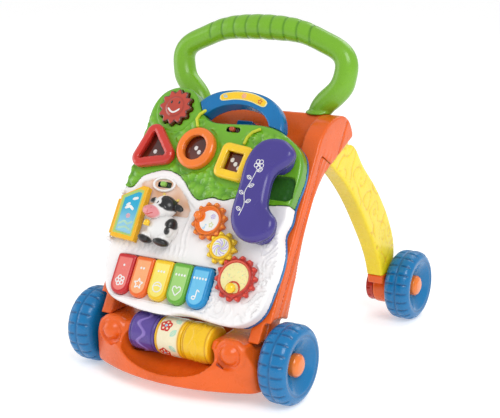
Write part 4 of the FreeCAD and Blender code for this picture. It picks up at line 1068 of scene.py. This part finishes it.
def carry_handle():
    """The blue grab loop, with a plain yellow label plate and three small motifs."""
    grip = softened("carry_handle", 1.4, 4)
    middle = curved([(-22, 443.5), (4, 448.5), (30, 447), (56, 438)], 8)
    rows = np.array(middle)
    along = np.gradient(rows, axis=0)
    along /= np.hypot(along[:, 0], along[:, 1])[:, None]
    side = np.stack([-along[:, 1], along[:, 0]], 1)
    width = 6.2 * np.sqrt(np.clip(1 - np.linspace(-1, 1, len(rows)) ** 8, 0.12, 1))
    outline = [tuple(p) for p in rows + side * width[:, None]]
    outline += [tuple(p) for p in (rows - side * width[:, None])[::-1]]
    inner = [tuple(p) for p in rows[1:-1] + side[1:-1] * (width[1:-1] - 1.3)[:, None]]
    inner += [tuple(p) for p in (rows[1:-1] - side[1:-1] * (width[1:-1] - 1.3)[:, None])[::-1]]
    add_piece("LabelEdge", plate(outline, -3.4, -2.1, 0.4), "panel", "yellow_shell", CREAM_PRINT)
    add_piece("LabelPlate", plate(inner, -2.6, -1.8, 0.3), "panel", "yellow_shell", YELLOW_RIM)
    lay = flat_at(-1.8)
    for name, strokes, width, paint in (
        ("Leaf", placed(LEAF, -13, 446, 3.8, 70), 1.0, PRINTS["sky"]),
        ("Flower", placed(FLOWER, 17, 448.6, 4.0), 0.9, PRINTS["rose"]),
        ("Star", placed(STAR, 45, 442, 4.0, -12), 1.0, RED_RIM),
    ):
        add_piece("Label" + name, ink(strokes, width, lay), "panel", "yellow_shell", paint)
    add_plain("CarryGrip", grip, "panel", "blue_shell", "carry_handle")


carry_handle()

TWIG = moulded("Twig", (0.62, 0.66, 0.03), rough=0.26)
add_piece("Twigs", softened("branches", 0.7, 2), "panel", "yellow_shell", TWIG, "branches")

# ---- push handle

GRIP_PITCH = 20.8
GRIP_RINGS = 9


def push_handle():
    """The bowed bar, ringed with fine grooves over its crown, with painted shade in them."""
    bar = softened("handle", 1.6, 3)
    rows, along = coordinates(bar) / MM, normals(bar)
    x, y, z = rows.T
    crown = step(446, 450, z) * step(6, 0, np.abs(x) - GRIP_PITCH * (GRIP_RINGS - 1) / 2 - 1)
    to_ring = np.abs((x / GRIP_PITCH) - np.round(x / GRIP_PITCH)) * GRIP_PITCH
    groove = -0.9 * bell(to_ring, 0.9) * crown
    swell = -0.55 * np.cos(2 * math.pi * x / GRIP_PITCH) * crown
    sunk = bell(to_ring, 1.3) * crown
    # Painted shade: the lime is darkened in the grooves.
    painted(bar, mixed((0.19, 0.46, 0.02), (0.06, 0.22, 0.006), 0.9 * sunk))
    set_coordinates(bar, coordinates(bar) + along * ((groove + swell * 0.4) * MM)[:, None])
    add_piece("PushBar", bar, "walker", "lime_grip", PAINTED, "handle")


push_handle()

# ---- wheels

LUGS = 22
TREAD_RADIUS = 54


def wheels():
    for corner in ("front_left", "front_right", "rear_left", "rear_right"):
        joint = JOINTS[f"wheel_{corner}_spin"]
        hub = np.array(joint["pos_m"]) / MM
        side = 1 if hub[0] > 0 else -1
        tyre = softened("tyre_" + corner, 1.7, 3)
        rows, along = coordinates(tyre) / MM - hub, normals(tyre)
        x, y, z = rows.T
        radius = np.hypot(y, z)
        turn = np.arctan2(z, y) * LUGS / (2 * math.pi)
        lug = np.abs(turn - np.round(turn)) * 2 * math.pi * TREAD_RADIUS / LUGS
        tread = step(47.5, 50.5, radius)
        cut = 1.7 * bell(lug, 1.3) * step(2.0, 4.0, np.abs(x))
        seam = 1.1 * bell(x, 1.3)
        ring = 0.9 * bell(radius - 40, 1.2) * step(10, 14, side * x)
        sunk = (cut + seam) * tread + ring
        set_coordinates(tyre, coordinates(tyre) - along * (sunk * MM)[:, None])
        # Painted shade in the tread cuts, the middle seam and the side ring.
        painted(tyre, mixed((0.001, 0.185, 0.46), (0.001, 0.04, 0.15), (sunk / 2.2).clip(0, 1)))
        add_piece("Tyre_" + corner, tyre, "wheel_" + corner, "blue_shell", PAINTED, "tyre_" + corner)
        cap = softened("hub_cap_" + corner, 1.0, 3)
        add_piece("Cap_" + corner, cap, "wheel_" + corner, "orange_shell", ORANGE_RIM, "hub_cap_" + corner)


wheels()

# ---- rollers


DRUM_RADIUS = 26.5
DRUM_FLOWERS = 4


def round_roller(spot):
    """A place() for ink on a roller: u along the axle, v round it, both in millimetres."""
    hub = np.array(spot) / MM

    def place(u, v, lift):
        turn = v / DRUM_RADIUS
        r = DRUM_RADIUS + lift
        rows = np.stack([u, hub[1] - r * np.sin(turn), hub[2] + r * np.cos(turn)], 1) * MM
        return [Vector(p) for p in rows]

    return place


def rollers():
    """Purple drum with a squiggle, a printed one in the middle and a yellow one with a flange."""
    for name in ("left", "middle", "right"):
        joint = JOINTS[f"roller_{name}_spin"]
        hub = np.array(joint["pos_m"]) / MM
        drum = softened("roller_" + name, 1.1, 2)
        rows, along = coordinates(drum) / MM, normals(drum)
        x, y, z = (rows - hub).T
        radius, turn = np.hypot(y, z), np.arctan2(-y, z)
        low, high = rows[:, 0].min(), rows[:, 0].max()
        u = rows[:, 0] - low
        skin = step(24.5, 25.8, radius)
        ends = bell(u - 4, 1.0) + bell(high - low - u - 4, 1.0)
        groove = 0.8 * ends * skin
        if name == "left":
            wave = np.abs(u - 21.5 - 6 * np.sin(turn * 6))
            groove += -0.8 * step(3.0, 1.6, wave) * skin
            base_colour, groove_shade = (0.11, 0.065, 0.33), (0.04, 0.02, 0.14)
        else:
            base_colour, groove_shade = (0.95, 0.58, 0.012), (0.62, 0.26, 0.005)
            if name == "right":
                groove += -0.8 * step(2.2, 1.2, np.abs(np.abs(u - 21.5) - 4 - 3 * np.sin(turn * 5))) * skin
        set_coordinates(drum, coordinates(drum) - along * (groove * MM)[:, None])
        # Painted shade in the grooves round the drum's ends.
        colours = mixed(base_colour, groove_shade, (groove / 0.9).clip(0, 1))
        if name == "left":
            colours = mixed(colours, (0.30, 0.20, 0.60), 0.8 * step(3.4, 2.2, wave) * skin)
        if name == "middle":
            band = step(16.5, 15.5, np.abs(u - (high - low) / 2)) * skin
            colours = mixed(colours, (0.93, 0.88, 0.66), 0.9 * band)
        painted(drum, colours)
        slot = "purple_shell" if name == "left" else "yellow_shell"
        body = "roller_" + name
        if name == "middle":
            lay = round_roller(joint["pos_m"])
            middle = (low + high) / 2
            for k in range(DRUM_FLOWERS):
                v = 2 * math.pi * DRUM_RADIUS * (k + 0.42) / DRUM_FLOWERS
                flower = placed(FLOWER, middle - 6, v, 9.0, 20)
                leaf = placed(LEAF, middle + 9, v + 9, 6.0, 40) + placed(LEAF, middle + 9, v - 10, 6.0, 130)
                add_piece(f"DrumFlower{k}", ink(flower, 2.6, lay), body, slot, RED_RIM)
                heart = placed(BALL, middle - 6, v, 2.4)
                add_piece(f"DrumHeart{k}", ink(heart, 1.8, lay), body, slot, PRINTS["sky"])
                add_piece(f"DrumLeaf{k}", ink(leaf, 2.0, lay), body, slot, PRINTS["mint"])
        add_piece("Drum_" + name, drum, body, slot, PAINTED, "roller_" + name)


rollers()

# ---- legs, frame and base


def legs():
    """Yellow legs engraved with curls on their sides, with painted shade in the curls."""
    for side in ("left", "right"):
        leg = softened("leg_" + side, 1.9, 3)
        rows, along = coordinates(leg) / MM, normals(leg)
        x, y, z = rows.T
        flat = step(0.85, 0.97, np.abs(along[:, 0]))
        curls = np.abs(np.sin(waves(y, z, 34, 21) * 2.4))
        sunk = 1.0 * step(0.24, 0.06, curls) * flat
        # Painted shade in the engraved curls.
        painted(leg, mixed((0.97, 0.76, 0.012), (0.86, 0.48, 0.008), 0.75 * (sunk / 0.9)))
        set_coordinates(leg, coordinates(leg) - along * (sunk * MM)[:, None])
        add_piece("Leg_" + side, leg, "walker", "yellow_shell", PAINTED, "leg_" + side)


legs()


def ridges(mesh):
    """Long low ridges down the outer side of each frame post."""
    rows, along = coordinates(mesh), normals(mesh)
    x, s, n = to_face(rows).T
    flat = step(0.85, 0.97, np.abs(along[:, 0])) * step(134, 137, np.abs(x))
    lines = np.zeros(len(x))
    for start in (-36.0, -46.0, -56.0):
        bend = start - 0.06 * np.maximum(s - 330, 0) ** 1.25
        lines += bell(n - bend, 1.5)
    fade = step(110, 130, s) * step(405, 385, s)
    set_coordinates(mesh, rows + along * ((0.9 * lines * flat * fade) * MM)[:, None])
    return mesh


for half in ("frame_front", "frame_rear"):
    add_plain("Casing_" + half, ridges(softened(half, 1.9, 2)), "walker", "orange_shell", half)
add_plain("Bumper", softened("base", 1.8, 2), "walker", "orange_shell", "base")
for side in ("left", "right"):
    foot = softened("foot_" + side, 1.6, 3)
    add_plain("Foot_" + side, foot, "walker", "orange_shell", "foot_" + side)

# ---- stage, light and camera

floor_mesh = bpy.data.meshes.new("Floor")
floor_mesh.from_pydata([(-40, -40, 0), (40, -40, 0), (40, 40, 0), (-40, 40, 0)], [], [(0, 1, 2, 3)])
floor = bpy.data.objects.new("Floor", floor_mesh)
bpy.context.scene.collection.objects.link(floor)
floor_material = moulded("FloorPaint", (0.93, 0.93, 0.93), rough=0.8, vary=0.01, coat=0.0)
floor_glow = floor_material.node_tree.nodes["Principled BSDF"]
floor_glow.inputs["Emission Color"].default_value = (1.0, 1.0, 1.0, 1)
floor_glow.inputs["Emission Strength"].default_value = 0.4
floor_mesh.materials.append(floor_material)

bpy.context.scene.view_settings.view_transform = "Standard"
bpy.context.scene.view_settings.look = "None"

world = bpy.data.worlds.new("Studio")
bpy.context.scene.world = world
world.use_nodes = True
world.node_tree.nodes["Background"].inputs["Color"].default_value = (1.0, 1.0, 1.0, 1)
world.node_tree.nodes["Background"].inputs["Strength"].default_value = 0.72


def softbox(name, place, target, width, power):
    light = bpy.data.lights.new(name, "AREA")
    light.shape = "SQUARE"
    light.size = width
    light.energy = power
    lamp = bpy.data.objects.new(name, light)
    bpy.context.scene.collection.objects.link(lamp)
    lamp.location = place
    lamp.rotation_euler = (Vector(target) - Vector(place)).to_track_quat("-Z", "Y").to_euler()
    return lamp


MIDDLE = (0.0, 0.0, 0.24)
softbox("KeyLight", (1.9, -1.5, 2.3), MIDDLE, 1.5, 44)
softbox("FillLight", (-2.6, -1.2, 1.0), MIDDLE, 1.8, 16)
softbox("RimLight", (0.4, 2.2, 2.4), MIDDLE, 1.8, 22)

CAMERA_AZIMUTH = math.radians(32.16)
CAMERA_ELEVATION = math.radians(14.6)
CAMERA_ROLL = math.radians(-1.03)
CAMERA_PLACE = Vector((0.8658, -1.3922, 0.6299))
CAMERA_LENS = 82.7


def studio_camera():
    """A camera in front of the toy, to its right and a little above it."""
    a, e = CAMERA_AZIMUTH, CAMERA_ELEVATION
    right = Vector((math.cos(a), math.sin(a), 0))
    back = Vector((math.sin(a) * math.cos(e), -math.cos(a) * math.cos(e), math.sin(e)))
    up = back.cross(right)
    turn = Matrix((right, up, back)).transposed().to_4x4()
    lens = bpy.data.cameras.new("Camera")
    lens.lens = CAMERA_LENS
    lens.sensor_width = 36.0
    lens.sensor_fit = "HORIZONTAL"
    camera = bpy.data.objects.new("Camera", lens)
    camera.matrix_world = Matrix.Translation(CAMERA_PLACE) @ turn @ Matrix.Rotation(CAMERA_ROLL, 4, "Z")
    bpy.context.scene.collection.objects.link(camera)
    bpy.context.scene.camera = camera


studio_camera()
